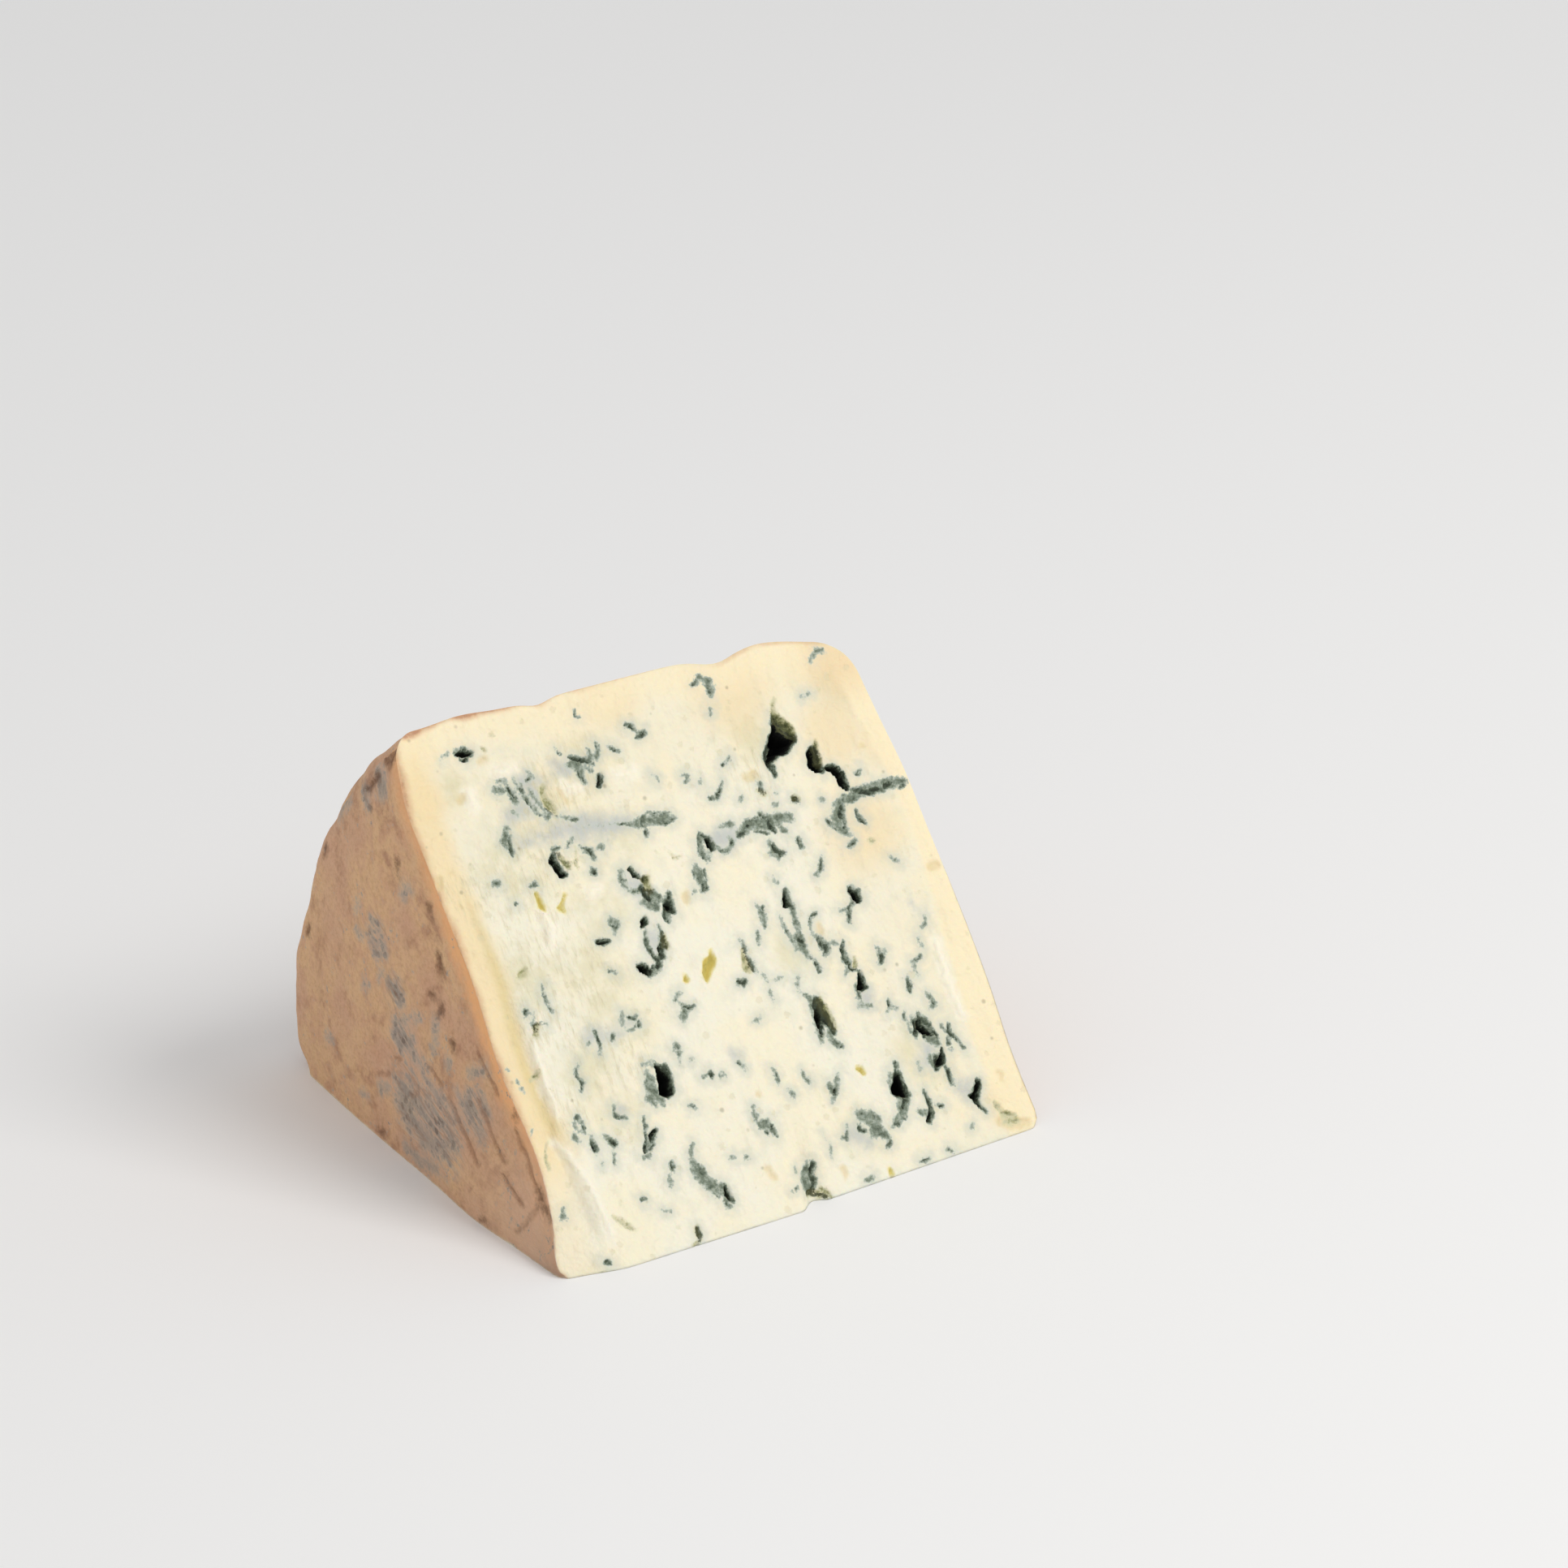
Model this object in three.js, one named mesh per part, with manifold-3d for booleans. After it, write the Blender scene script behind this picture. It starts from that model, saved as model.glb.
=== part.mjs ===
// A loose wedge of blue cheese, one solid, lying on one of its two cut faces.
// Millimetres, +Z up. X runs along the axis of the wheel that it was cut from. The wheel's axis
// is the wedge's tip, the edge on the ground in front, and the rim curves up behind it.
// Places in the wedge are given as radius (from the tip), angle (from the ground face up to the
// other cut face) and x (along the axis, left to right).
import * as THREE from "three";
import { mergeVertices } from "three/addons/utils/BufferGeometryUtils.js";
import Module from "manifold-3d";

const wasm = await Module();
wasm.setup();

// ---- driving sizes ----
const WHEEL_RADIUS = 99.5;
const WEDGE_ANGLE = THREE.MathUtils.degToRad(53.5);
const LEFT_TIP_HALF = 51.5; // from mid height of the wheel to its left flat, at the axis
const RIGHT_TIP_HALF = 51.0;
const RIM_DROP = 4.6; // each flat is this much lower at the rim
const DROP_CURVE = 2.2; // a flat keeps nearly level at first, then falls away
const LEFT_ROUNDING = 4.5; // where a flat turns into the rim
const RIGHT_ROUNDING = 7.0;
const RIGHT_SLOPE = 3.2; // the rim falls this much towards its right end, at the cut that shows
const RIM_LEAN = 0.02; // the left end of the rim stands out further
const TIP_CORNER = 1.3; // the tip edge is worn back this far at its ends
const TIP_CORNER_REACH = 1.3;
const FOOT_FLARE = 2.4; // the tip edge is pushed out this far, left of the nick
const FOOT_REACH = 15; // how far up the cut face the flare goes
const FLARE_START = [-51, -38]; // x where the flare starts, and where it is full
const NICK = [-3, 1, 4]; // x of the nick in the tip edge: its left side, its bottom, its right side
const RIGHT_FLARE = 1.1; // the tip edge right of the nick
const RIGHT_FLARE_FALL = 0.04; // for each millimetre further right
const RIM_WAVE = 0.5; // height of the rim's shallow waves
const RIM_WAVE_ANGLE = THREE.MathUtils.degToRad(16.5); // from one wave to the next
const RIM_WAVE_TURN = 11; // how far along the axis a wave runs for each radian that it turns
const RIM_TUCK = 1.2; // the rim is rounded in this far where it meets the ground
const LEFT_TUCK = 3.8; // and this much further at its left end
const LEFT_TUCK_AT = [-47, 13]; // x of that end, and its reach
const TUCK_ANGLE = THREE.MathUtils.degToRad(2.3);
const OFF_TIP = 10; // radius where the flats' and the cut's unevenness is full
const SWAY_START = 0.25; // share of the wedge's angle where the shape at the cut that shows sets in
const RELIEF_START = 0.8; // share of the wedge's angle where the relief of that cut sets in

// ---- swells of the sides, each as height, middle and width ----
const LEFT_DISH = [[-3.3, 21, 16], [-1.9, 52, 16], [1.1, 87, 9]]; // by radius, at the cut that shows
const LEFT_DOME = [[0.9, 29, 12]]; // by radius, at the ground face
const RIGHT_SWELLS = [[0.4, 72, 8], [-0.5, 17, 9]]; // by radius, at the cut that shows
const RIM_DENTS = [[0.7, -33, 6], [-0.9, -17.5, 3], [-1.6, 19.5, 5]]; // by x, at the cut that shows
const RIM_FOOT = [[1.4, -46, 12]]; // by x, at the ground face
const RIGHT_SLOPE_AT = [28, 48]; // x where the rim's fall to the right starts and ends

// ---- relief of the cut face that shows ----
const CUT_WAVE = 0.35;
const CUT_WAVE_ALONG = 13;
const CUT_WAVE_OUT = 17;
const CUT_WAVE_START = 0.6;
const GROOVE_DEPTH = 0.9;
const GROOVE_AT = [-44, 2.4]; // x of its middle, and its width
const GROOVE_FADES = [[4, 14], [40, 62]]; // radii where it fades in and out

// ---- mesh steps ----
const STEPS_ALONG = 26; // along the axis
const STEPS_OUT = 20; // from the tip to the rim
const STEP_GROWTH = 1.35; // steps outward grow from the tip, so that its worn ends come out short
const STEPS_ROUND = 16; // from one cut face to the other
const ARC_STEPS_OUT = 2; // steps that half a rounding takes on a flat
const ARC_STEPS_ALONG = 2; // and on the rim
const WELD = 1e-3; // corners closer together than this are one

// ---- holes in the cut face that shows: x, radius, width, height, lean in degrees, depth ----
const SHOWN_HOLES = {
  teardrop: [27.3, 81.0, 5.2, 15.5, -5, 7.5],
  hookHead: [32.2, 76.4, 3.6, 6.6, -12, 4.5],
  hookTail: [35.6, 71.8, 2.2, 6.0, 42, 3.0],
  trackRight: [41.0, 67.6, 13.0, 2.2, 4, 1.6],
  trackMiddle: [16.4, 67.2, 13.0, 3.2, 8, 1.4],
  trackKnee: [31.9, 63.6, 3.6, 5.0, 8, 1.8],
  ringUpper: [4.9, 66.4, 3.6, 5.4, -6, 2.4],
  trackLeft: [-4.0, 73.3, 9.0, 2.4, 4, 1.4],
  smearLeft: [-25.5, 82.0, 15.0, 5.0, -8, 1.4],
  smearFoot: [-32.4, 77.0, 2.8, 5.6, 0, 1.2],
  pocketDark: [-24.3, 70.6, 3.4, 6.0, 22, 4.0],
  pocketPale: [-20.9, 72.2, 2.8, 5.6, 20, 1.8],
  cornerStar: [-35.2, 94.0, 4.4, 2.6, 0, 1.8],
  brushUpper: [-13.6, 85.8, 4.6, 5.4, -20, 2.0],
  beads: [-0.7, 89.6, 4.4, 2.6, -35, 1.8],
  topHook: [15.3, 94.0, 4.6, 3.8, -40, 1.8],
  dripMiddle: [1.8, 60.7, 3.0, 5.6, -8, 1.8],
  loopTop: [-12.0, 64.0, 4.0, 5.0, 24, 2.0],
  loopMiddle: [-7.0, 57.8, 4.6, 8.4, 18, 3.0],
  loopFoot: [-11.0, 52.6, 4.4, 7.4, -6, 2.6],
  loopBlack: [-15.0, 48.6, 2.8, 3.0, 0, 3.0],
  blackDot: [30.7, 50.2, 3.4, 4.0, 0, 4.0],
  yellowPair: [-28.6, 64.2, 2.4, 3.8, 0, 2.0],
  yellowHole: [-2.4, 45.6, 3.6, 7.0, -10, 2.6],
  streakTall: [16.2, 47.0, 3.6, 11.0, 8, 1.8],
  streakNext: [20.8, 45.4, 3.2, 8.4, 12, 1.6],
  stepUpper: [24.4, 40.2, 2.6, 6.2, 14, 2.2],
  stepLower: [25.4, 34.8, 2.4, 5.0, 4, 3.4],
  slotMiddle: [15.9, 30.2, 5.4, 10.6, 6, 5.5],
  bowl: [-20.4, 28.0, 5.6, 7.8, -10, 5.0],
  longRightUpper: [33.8, 23.6, 4.6, 8.0, 20, 4.0],
  longRightLower: [36.2, 16.4, 4.0, 9.0, 10, 4.0],
  diamond: [25.0, 14.0, 4.0, 12.6, 0, 5.0],
  forked: [29.6, 10.2, 3.0, 7.0, 12, 2.4],
  cornerBlack: [40.4, 9.4, 3.4, 7.2, 16, 4.0],
  grainPatch: [16.6, 10.0, 9.0, 6.4, 0, 1.4],
  streakFoot: [-17.2, 11.0, 4.0, 10.8, 30, 2.6],
  slitFoot: [-26.0, 19.6, 2.6, 7.6, -14, 2.6],
  nick: [1.6, 3.0, 3.4, 9.0, 6, 3.4],
};

// ---- holes in the cut face that it lies on, strewn by a rule ----
const HIDDEN_HOLES = 16;
const HIDDEN_SEED = 41;
const HIDDEN_WIDTH = [2.4, 5.0];
const HIDDEN_STRETCH = [1.1, 2.6];
const HIDDEN_LEAN = [-25, 25];
const HIDDEN_DEPTH_SHARE = 0.8; // of the width
const HIDDEN_MARGIN = 12; // clear of the wedge's edges
const RESTING_PATCH = 14; // clear round the middle of the face

// ---- roughness of the holes ----
const ROUGH_SEED = 7;
const ROUGH = [0.86, 1.12];
const SPINDLE_WAIST = 1.12;
const SPINDLE_TAPER = 0.5;

const CHEESE = { color: 0xf2eacd, roughness: 0.55, metalness: 0.0 };

/** Seeded random numbers from 0 to 1 (mulberry32). */
function randomFrom(seed) {
  let state = seed;
  return () => {
    state = (state + 0x6d2b79f5) | 0;
    let t = Math.imul(state ^ (state >>> 15), 1 | state);
    t = (t + Math.imul(t ^ (t >>> 7), 61 | t)) ^ t;
    return ((t ^ (t >>> 14)) >>> 0) / 4294967296;
  };
}

const { lerp, smoothstep } = THREE.MathUtils;
const bump = (value, middle, width) => Math.exp(-(((value - middle) / width) ** 2));

/** The sum of some swells at a place. */
function swell(value, swells) {
  return swells.reduce((sum, [height, middle, width]) => sum + height * bump(value, middle, width), 0);
}

/** 0 at the ground face, 1 at the cut face that shows. */
const nearShownFace = (angle) => smoothstep(angle / WEDGE_ANGLE, SWAY_START, 1);

/** 0 on the tip, where all angles meet in one edge, 1 a little way out. */
const offTip = (radius) => smoothstep(radius, 0, OFF_TIP);

/** How much lower a flat is at this radius than at the tip. */
const flatDrop = (radius) => RIM_DROP * (radius / WHEEL_RADIUS) ** DROP_CURVE;

/** How far the ends of the tip edge are worn back. */
const tipWear = (radius) => TIP_CORNER * bump(radius, 0, TIP_CORNER_REACH);

/** Distance from mid height to the left flat: domed below, dished near the cut that shows. */
function leftHalf(radius, angle) {
  const sway = lerp(swell(radius, LEFT_DOME), swell(radius, LEFT_DISH), nearShownFace(angle));
  return LEFT_TIP_HALF - flatDrop(radius) + offTip(radius) * sway - tipWear(radius);
}

/** Distance from mid height to the right flat. */
function rightHalf(radius, angle) {
  const sway = offTip(radius) * nearShownFace(angle) * swell(radius, RIGHT_SWELLS);
  return RIGHT_TIP_HALF - flatDrop(radius) + sway - tipWear(radius);
}

/** Radius of the uneven rim at a place along the axis. */
function rimRadius(x, angle) {
  const slope = -RIGHT_SLOPE * smoothstep(x, ...RIGHT_SLOPE_AT);
  const waves = RIM_WAVE * Math.cos((angle / RIM_WAVE_ANGLE) * 2 * Math.PI + x / RIM_WAVE_TURN);
  const low = swell(x, RIM_FOOT) + waves;
  const high = swell(x, RIM_DENTS) + slope;
  const tuck = (RIM_TUCK + LEFT_TUCK * bump(x, ...LEFT_TUCK_AT)) * bump(angle, 0, TUCK_ANGLE);
  return WHEEL_RADIUS - RIM_LEAN * x + lerp(low, high, nearShownFace(angle)) - tuck;
}

/** How far the tip edge is pushed out: flared on the left, a step at the nick, then straight. */
function footFlare(x) {
  const [nickLeft, nickBottom, nickRight] = NICK;
  const left = FOOT_FLARE * smoothstep(x, ...FLARE_START) * (1 - smoothstep(x, nickLeft, nickBottom));
  const fall = RIGHT_FLARE_FALL * (x - nickRight);
  return left + smoothstep(x, nickBottom, nickRight) * (RIGHT_FLARE - fall);
}

/** Relief of the cut face that shows, along its normal: slow waves and a groove on the left. */
function cutRelief(x, radius) {
  const along = Math.sin(x / CUT_WAVE_ALONG + CUT_WAVE_START);
  const waves = CUT_WAVE * along * Math.cos(radius / CUT_WAVE_OUT);
  const [fadeIn, fadeOut] = GROOVE_FADES.map((radii) => smoothstep(radius, ...radii));
  const groove = -GROOVE_DEPTH * bump(x, ...GROOVE_AT) * fadeIn * (1 - fadeOut);
  return (waves + groove) * offTip(radius);
}

const FACE_UP = new THREE.Vector3(0, Math.cos(WEDGE_ANGLE), Math.sin(WEDGE_ANGLE));
const FACE_OUT = new THREE.Vector3(0, -Math.sin(WEDGE_ANGLE), Math.cos(WEDGE_ANGLE));

/** The point at a plain radius, angle and x, carried to its place on the uneven wedge. */
function place(plainRadius, angle, plainX) {
  const across = (plainX / LEFT_TIP_HALF + 1) / 2;
  const half = lerp(leftHalf(plainRadius, angle), rightHalf(plainRadius, angle), across);
  const x = (plainX / LEFT_TIP_HALF) * half;
  const radius = (plainRadius / WHEEL_RADIUS) * rimRadius(x, angle);
  const point = new THREE.Vector3(x, radius * Math.cos(angle), radius * Math.sin(angle));
  const atShownFace = smoothstep(angle / WEDGE_ANGLE, RELIEF_START, 1);
  point.addScaledVector(FACE_OUT, cutRelief(x, radius) * atShownFace);
  point.y -= footFlare(x) * bump(radius, 0, FOOT_REACH);
  return point;
}

/** A side of the plain cross-section, from the tip to the middle of its rounding. */
function sideOutline(rounding, side) {
  const half = LEFT_TIP_HALF;
  const straight = STEPS_OUT - ARC_STEPS_OUT;
  return Array.from({ length: STEPS_OUT + 1 }, (_, step) => {
    if (step <= straight) {
      return [(WHEEL_RADIUS - rounding) * (step / straight) ** STEP_GROWTH, side * half];
    }
    const turn = ((step - straight) / ARC_STEPS_OUT) * (Math.PI / 4);
    const radius = WHEEL_RADIUS - rounding * (1 - Math.sin(turn));
    return [radius, side * (half - rounding * (1 - Math.cos(turn)))];
  });
}

/** The rim of the plain cross-section, from the middle of one rounding to that of the other. */
function rimOutline() {
  const half = LEFT_TIP_HALF;
  return Array.from({ length: STEPS_ALONG + 1 }, (_, step) => {
    const side = step < STEPS_ALONG / 2 ? -1 : 1;
    const rounding = side < 0 ? LEFT_ROUNDING : RIGHT_ROUNDING;
    const fromEnd = Math.min(step, STEPS_ALONG - step);
    if (fromEnd < ARC_STEPS_ALONG) {
      const turn = (Math.PI / 4) * (1 + fromEnd / ARC_STEPS_ALONG);
      const radius = WHEEL_RADIUS - rounding * (1 - Math.sin(turn));
      return [radius, side * (half - rounding * (1 - Math.cos(turn)))];
    }
    const share = (step - ARC_STEPS_ALONG) / (STEPS_ALONG - 2 * ARC_STEPS_ALONG);
    return [WHEEL_RADIUS, lerp(-half + LEFT_ROUNDING, half - RIGHT_ROUNDING, share)];
  });
}

const LEFT_OUTLINE = sideOutline(LEFT_ROUNDING, -1);
const RIGHT_OUTLINE = sideOutline(RIGHT_ROUNDING, 1);
const RIM_OUTLINE = rimOutline();

/** Plain radius and x inside a cut face, blended from its four edges. */
function insideCut(out, along) {
  const v = out / STEPS_OUT;
  const u = along / STEPS_ALONG;
  const tip = [0, lerp(-LEFT_TIP_HALF, LEFT_TIP_HALF, u)];
  return [0, 1].map((axis) => {
    const sides = lerp(LEFT_OUTLINE[out][axis], RIGHT_OUTLINE[out][axis], u);
    const ends = lerp(tip[axis], RIM_OUTLINE[along][axis], v);
    const left = lerp(LEFT_OUTLINE[0][axis], LEFT_OUTLINE[STEPS_OUT][axis], v);
    const right = lerp(RIGHT_OUTLINE[0][axis], RIGHT_OUTLINE[STEPS_OUT][axis], v);
    return sides + ends - lerp(left, right, u);
  });
}

/** Adds a grid of quads, split into triangles, to a list of positions. */
function addGrid(positions, rows, columns, pointAt, flipped) {
  for (let row = 0; row < rows; row += 1) {
    for (let column = 0; column < columns; column += 1) {
      const corners = [
        pointAt(row, column),
        pointAt(row, column + 1),
        pointAt(row + 1, column + 1),
        pointAt(row + 1, column),
      ];
      const order = flipped ? [0, 2, 1, 0, 3, 2] : [0, 1, 2, 0, 2, 3];
      for (const corner of order) positions.push(...corners[corner].toArray());
    }
  }
}

/** The wedge without its holes, as a closed geometry with shared vertices. */
function wedgeGeometry() {
  const positions = [];
  const angleAt = (step) => (WEDGE_ANGLE * step) / STEPS_ROUND;
  const cutPoint = (angle) => (out, along) => {
    const [radius, x] = insideCut(out, along);
    return place(radius, angle, x);
  };
  const rindPoint = (outline) => (step, round) => {
    const [radius, x] = outline[step];
    return place(radius, angleAt(round), x);
  };
  addGrid(positions, STEPS_OUT, STEPS_ALONG, cutPoint(WEDGE_ANGLE), false);
  addGrid(positions, STEPS_OUT, STEPS_ALONG, cutPoint(0), true);
  addGrid(positions, STEPS_OUT, STEPS_ROUND, rindPoint(LEFT_OUTLINE), false);
  addGrid(positions, STEPS_OUT, STEPS_ROUND, rindPoint(RIGHT_OUTLINE), true);
  addGrid(positions, STEPS_ALONG, STEPS_ROUND, rindPoint(RIM_OUTLINE), false);
  const geometry = new THREE.BufferGeometry();
  geometry.setAttribute("position", new THREE.Float32BufferAttribute(positions, 3));
  return withoutSlivers(mergeVertices(geometry, WELD));
}

/** Drops the triangles that have shrunk to a line, as those at the ends of the tip have. */
function withoutSlivers(geometry) {
  const kept = [];
  const index = geometry.index.array;
  for (let i = 0; i < index.length; i += 3) {
    const [a, b, c] = [index[i], index[i + 1], index[i + 2]];
    if (a !== b && b !== c && c !== a) kept.push(a, b, c);
  }
  geometry.setIndex(kept);
  return geometry;
}

/** A rough spindle with its middle at the origin: x is its width, y its height, z its depth. */
function holeGeometry(width, height, depth, random) {
  const geometry = new THREE.IcosahedronGeometry(1, 1);
  geometry.deleteAttribute("normal");
  geometry.deleteAttribute("uv");
  const spindle = mergeVertices(geometry, WELD);
  const position = spindle.attributes.position;
  for (let i = 0; i < position.count; i += 1) {
    const point = new THREE.Vector3().fromBufferAttribute(position, i);
    point.x *= SPINDLE_WAIST - SPINDLE_TAPER * point.y ** 2;
    point.multiplyScalar(lerp(...ROUGH, random()));
    position.setXYZ(i, (point.x * width) / 2, (point.y * height) / 2, point.z * depth);
  }
  return spindle;
}

/** Turns an indexed geometry into a solid. */
function solidOf(geometry) {
  const vertProperties = Float32Array.from(geometry.attributes.position.array);
  const triVerts = Uint32Array.from(geometry.index.array);
  return new wasm.Manifold(new wasm.Mesh({ numProp: 3, vertProperties, triVerts }));
}

/** A hole's solid, turned by its lean and set on a cut face. */
function holeSolid([x, radius, width, height, lean, depth], up, out, random) {
  const geometry = holeGeometry(width, height, depth, random);
  const across = new THREE.Vector3().crossVectors(up, out);
  const onFace = new THREE.Matrix4().makeBasis(across, up, out);
  onFace.setPosition(new THREE.Vector3(x, 0, 0).addScaledVector(up, radius));
  geometry.rotateZ(THREE.MathUtils.degToRad(lean));
  geometry.applyMatrix4(onFace);
  return solidOf(geometry);
}

/** Holes for the ground face, clear of its edges and of the middle that it rests on. */
function hiddenHoles() {
  const random = randomFrom(HIDDEN_SEED);
  const holes = [];
  const middle = WHEEL_RADIUS / 2;
  while (holes.length < HIDDEN_HOLES) {
    const x = lerp(-1, 1, random()) * (LEFT_TIP_HALF - RIM_DROP - HIDDEN_MARGIN);
    const radius = lerp(HIDDEN_MARGIN, WHEEL_RADIUS - HIDDEN_MARGIN, random());
    const width = lerp(...HIDDEN_WIDTH, random());
    const height = width * lerp(...HIDDEN_STRETCH, random());
    const lean = lerp(...HIDDEN_LEAN, random());
    const depth = width * HIDDEN_DEPTH_SHARE;
    const clear = (other) => Math.hypot(x - other[0], radius - other[1]) > HIDDEN_MARGIN;
    const offPatch = Math.hypot(x, radius - middle) > RESTING_PATCH;
    if (offPatch && holes.every(clear)) holes.push([x, radius, width, height, lean, depth]);
  }
  return holes;
}

/** The whole cheese: the wedge with its mould holes cut out, standing on the origin. */
function cheeseGeometry() {
  const random = randomFrom(ROUGH_SEED);
  const groundUp = new THREE.Vector3(0, 1, 0);
  const groundOut = new THREE.Vector3(0, 0, -1);
  let cheese = solidOf(wedgeGeometry());
  for (const hole of Object.values(SHOWN_HOLES)) {
    cheese = cheese.subtract(holeSolid(hole, FACE_UP, FACE_OUT, random));
  }
  for (const hole of hiddenHoles()) {
    cheese = cheese.subtract(holeSolid(hole, groundUp, groundOut, random));
  }
  const mesh = cheese.getMesh();
  const geometry = new THREE.BufferGeometry();
  geometry.setAttribute("position", new THREE.BufferAttribute(mesh.vertProperties, 3));
  geometry.setIndex(new THREE.BufferAttribute(mesh.triVerts, 1));
  geometry.computeBoundingBox();
  const middle = geometry.boundingBox.getCenter(new THREE.Vector3());
  geometry.translate(-middle.x, -middle.y, -geometry.boundingBox.min.z);
  geometry.computeVertexNormals();
  return geometry;
}

function makeCheese() {
  const cheese = new THREE.Mesh(cheeseGeometry(), new THREE.MeshStandardMaterial(CHEESE));
  cheese.name = "blue_cheese_wedge";
  return cheese;
}

const object = new THREE.Group();
object.add(makeCheese());

export default object;
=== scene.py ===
"""The looks of a loose blue cheese wedge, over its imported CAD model.

The wedge is modelled again as one closed mesh, fine on the cut face that shows: the same outer form as
the CAD solid, with its mould holes, needle track, smears and rind in full. Sizes are in millimetres up to
the mesh, which is in metres. A place on the wedge is its radius from the tip, its angle from the ground
face up to the other cut face, and x, along the axis of the wheel that the wedge was cut from.
"""

import math

import bpy
import numpy as np
from mathutils import Matrix, Vector


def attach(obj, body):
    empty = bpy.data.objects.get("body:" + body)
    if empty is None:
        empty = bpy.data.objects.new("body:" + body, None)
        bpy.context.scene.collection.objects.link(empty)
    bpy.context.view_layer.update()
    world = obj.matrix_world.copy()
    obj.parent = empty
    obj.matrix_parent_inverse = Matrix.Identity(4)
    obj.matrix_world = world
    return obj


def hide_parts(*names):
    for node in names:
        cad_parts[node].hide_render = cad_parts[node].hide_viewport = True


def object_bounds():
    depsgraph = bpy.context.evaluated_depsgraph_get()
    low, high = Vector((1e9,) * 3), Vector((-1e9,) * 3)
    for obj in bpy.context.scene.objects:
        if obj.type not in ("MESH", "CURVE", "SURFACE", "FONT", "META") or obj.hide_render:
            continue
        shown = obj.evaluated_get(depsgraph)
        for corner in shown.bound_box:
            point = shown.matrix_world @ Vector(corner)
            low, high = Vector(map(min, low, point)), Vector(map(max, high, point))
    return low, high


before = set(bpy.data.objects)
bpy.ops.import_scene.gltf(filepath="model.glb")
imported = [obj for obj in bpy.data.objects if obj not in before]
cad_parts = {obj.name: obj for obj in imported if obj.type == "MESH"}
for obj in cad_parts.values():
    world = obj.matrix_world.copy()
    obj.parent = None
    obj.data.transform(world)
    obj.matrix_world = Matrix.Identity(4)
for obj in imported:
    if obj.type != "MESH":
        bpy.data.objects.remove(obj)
cad_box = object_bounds()

MM = 0.001
NEARLY = 1e-9  # a length or an angle below this is nothing
TINY = 1e-12

# ---- the wedge's driving sizes, as in the CAD source ----
# A range is where something starts and where it is in full. A swell is its height, its middle and its width.
WHEEL_RADIUS = 99.5
WEDGE_ANGLE = math.radians(53.5)
LEFT_TIP_HALF = 51.5
RIGHT_TIP_HALF = 51.0
RIM_DROP = 4.6
DROP_CURVE = 2.2
LEFT_ROUNDING = 4.5
RIGHT_ROUNDING = 7.0
RIGHT_SLOPE = 3.2
RIM_LEAN = 0.02
TIP_CORNER = 1.3
TIP_CORNER_REACH = 1.3
FOOT_FLARE = 2.4
FOOT_REACH = 15
FLARE_START = (-51, -38)
NICK = (-3, 1, 4)  # x of its left side, its bottom and its right side
RIGHT_FLARE = 1.1
RIGHT_FLARE_FALL = 0.04
RIM_WAVE = 0.5
RIM_WAVE_ANGLE = math.radians(16.5)
RIM_WAVE_TURN = 11  # x that takes the waves one radian on
RIM_TUCK = 1.2
LEFT_TUCK = 3.8
LEFT_TUCK_AT = (-47, 13)  # its middle and its width
TUCK_ANGLE = math.radians(2.3)
OFF_TIP = 10
SWAY_START = 0.25  # share of the wedge's angle where the shape at the cut that shows sets in
RELIEF_START = 0.8  # share of the wedge's angle where the relief of that cut sets in
LEFT_DISH = ((-3.3, 21, 16), (-1.9, 52, 16), (1.1, 87, 9))
LEFT_DOME = ((0.9, 29, 12),)
RIGHT_SWELLS = ((0.4, 72, 8), (-0.5, 17, 9))
RIM_DENTS = ((0.7, -33, 6), (-0.9, -17.5, 3), (-1.6, 19.5, 5))
RIM_FOOT = ((1.4, -46, 12),)
RIGHT_SLOPE_AT = (28, 48)
CUT_WAVE = 0.35
CUT_WAVE_ALONG = 13
CUT_WAVE_OUT = 17
CUT_WAVE_START = 0.6
GROOVE_DEPTH = 0.9
GROOVE_AT = (-44, 2.4)  # its middle and its width
GROOVE_STARTS = (4, 14)
GROOVE_ENDS = (40, 62)

FACE_OUT = np.array([0, -math.sin(WEDGE_ANGLE), math.cos(WEDGE_ANGLE)])

# ---- mesh steps: each face of the wedge has its own ----
SHOWN_STEPS = (240, 250)  # outward, along x
GROUND_STEPS = (60, 60)
LEFT_STEPS = 130  # outward
RIGHT_STEPS = 66
RIM_STEPS = 96  # along x
ROUND_STEPS = 100  # from the ground face to the cut that shows
ARC_SHARE = 0.12  # share of a side's steps that half a rounding takes
RIM_ARC_SHARE = 0.8 * ARC_SHARE
EVEN_SHARE = 0.55  # how evenly the steps round the wedge are spread
CLOSER_SHARE = 0.45  # how much they crowd near its two cut faces
MERGE_DECIMALS = 6

BOX_OFFSET_X = 0.555  # the dents leave the CAD solid's box off the tip's middle by this much

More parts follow.
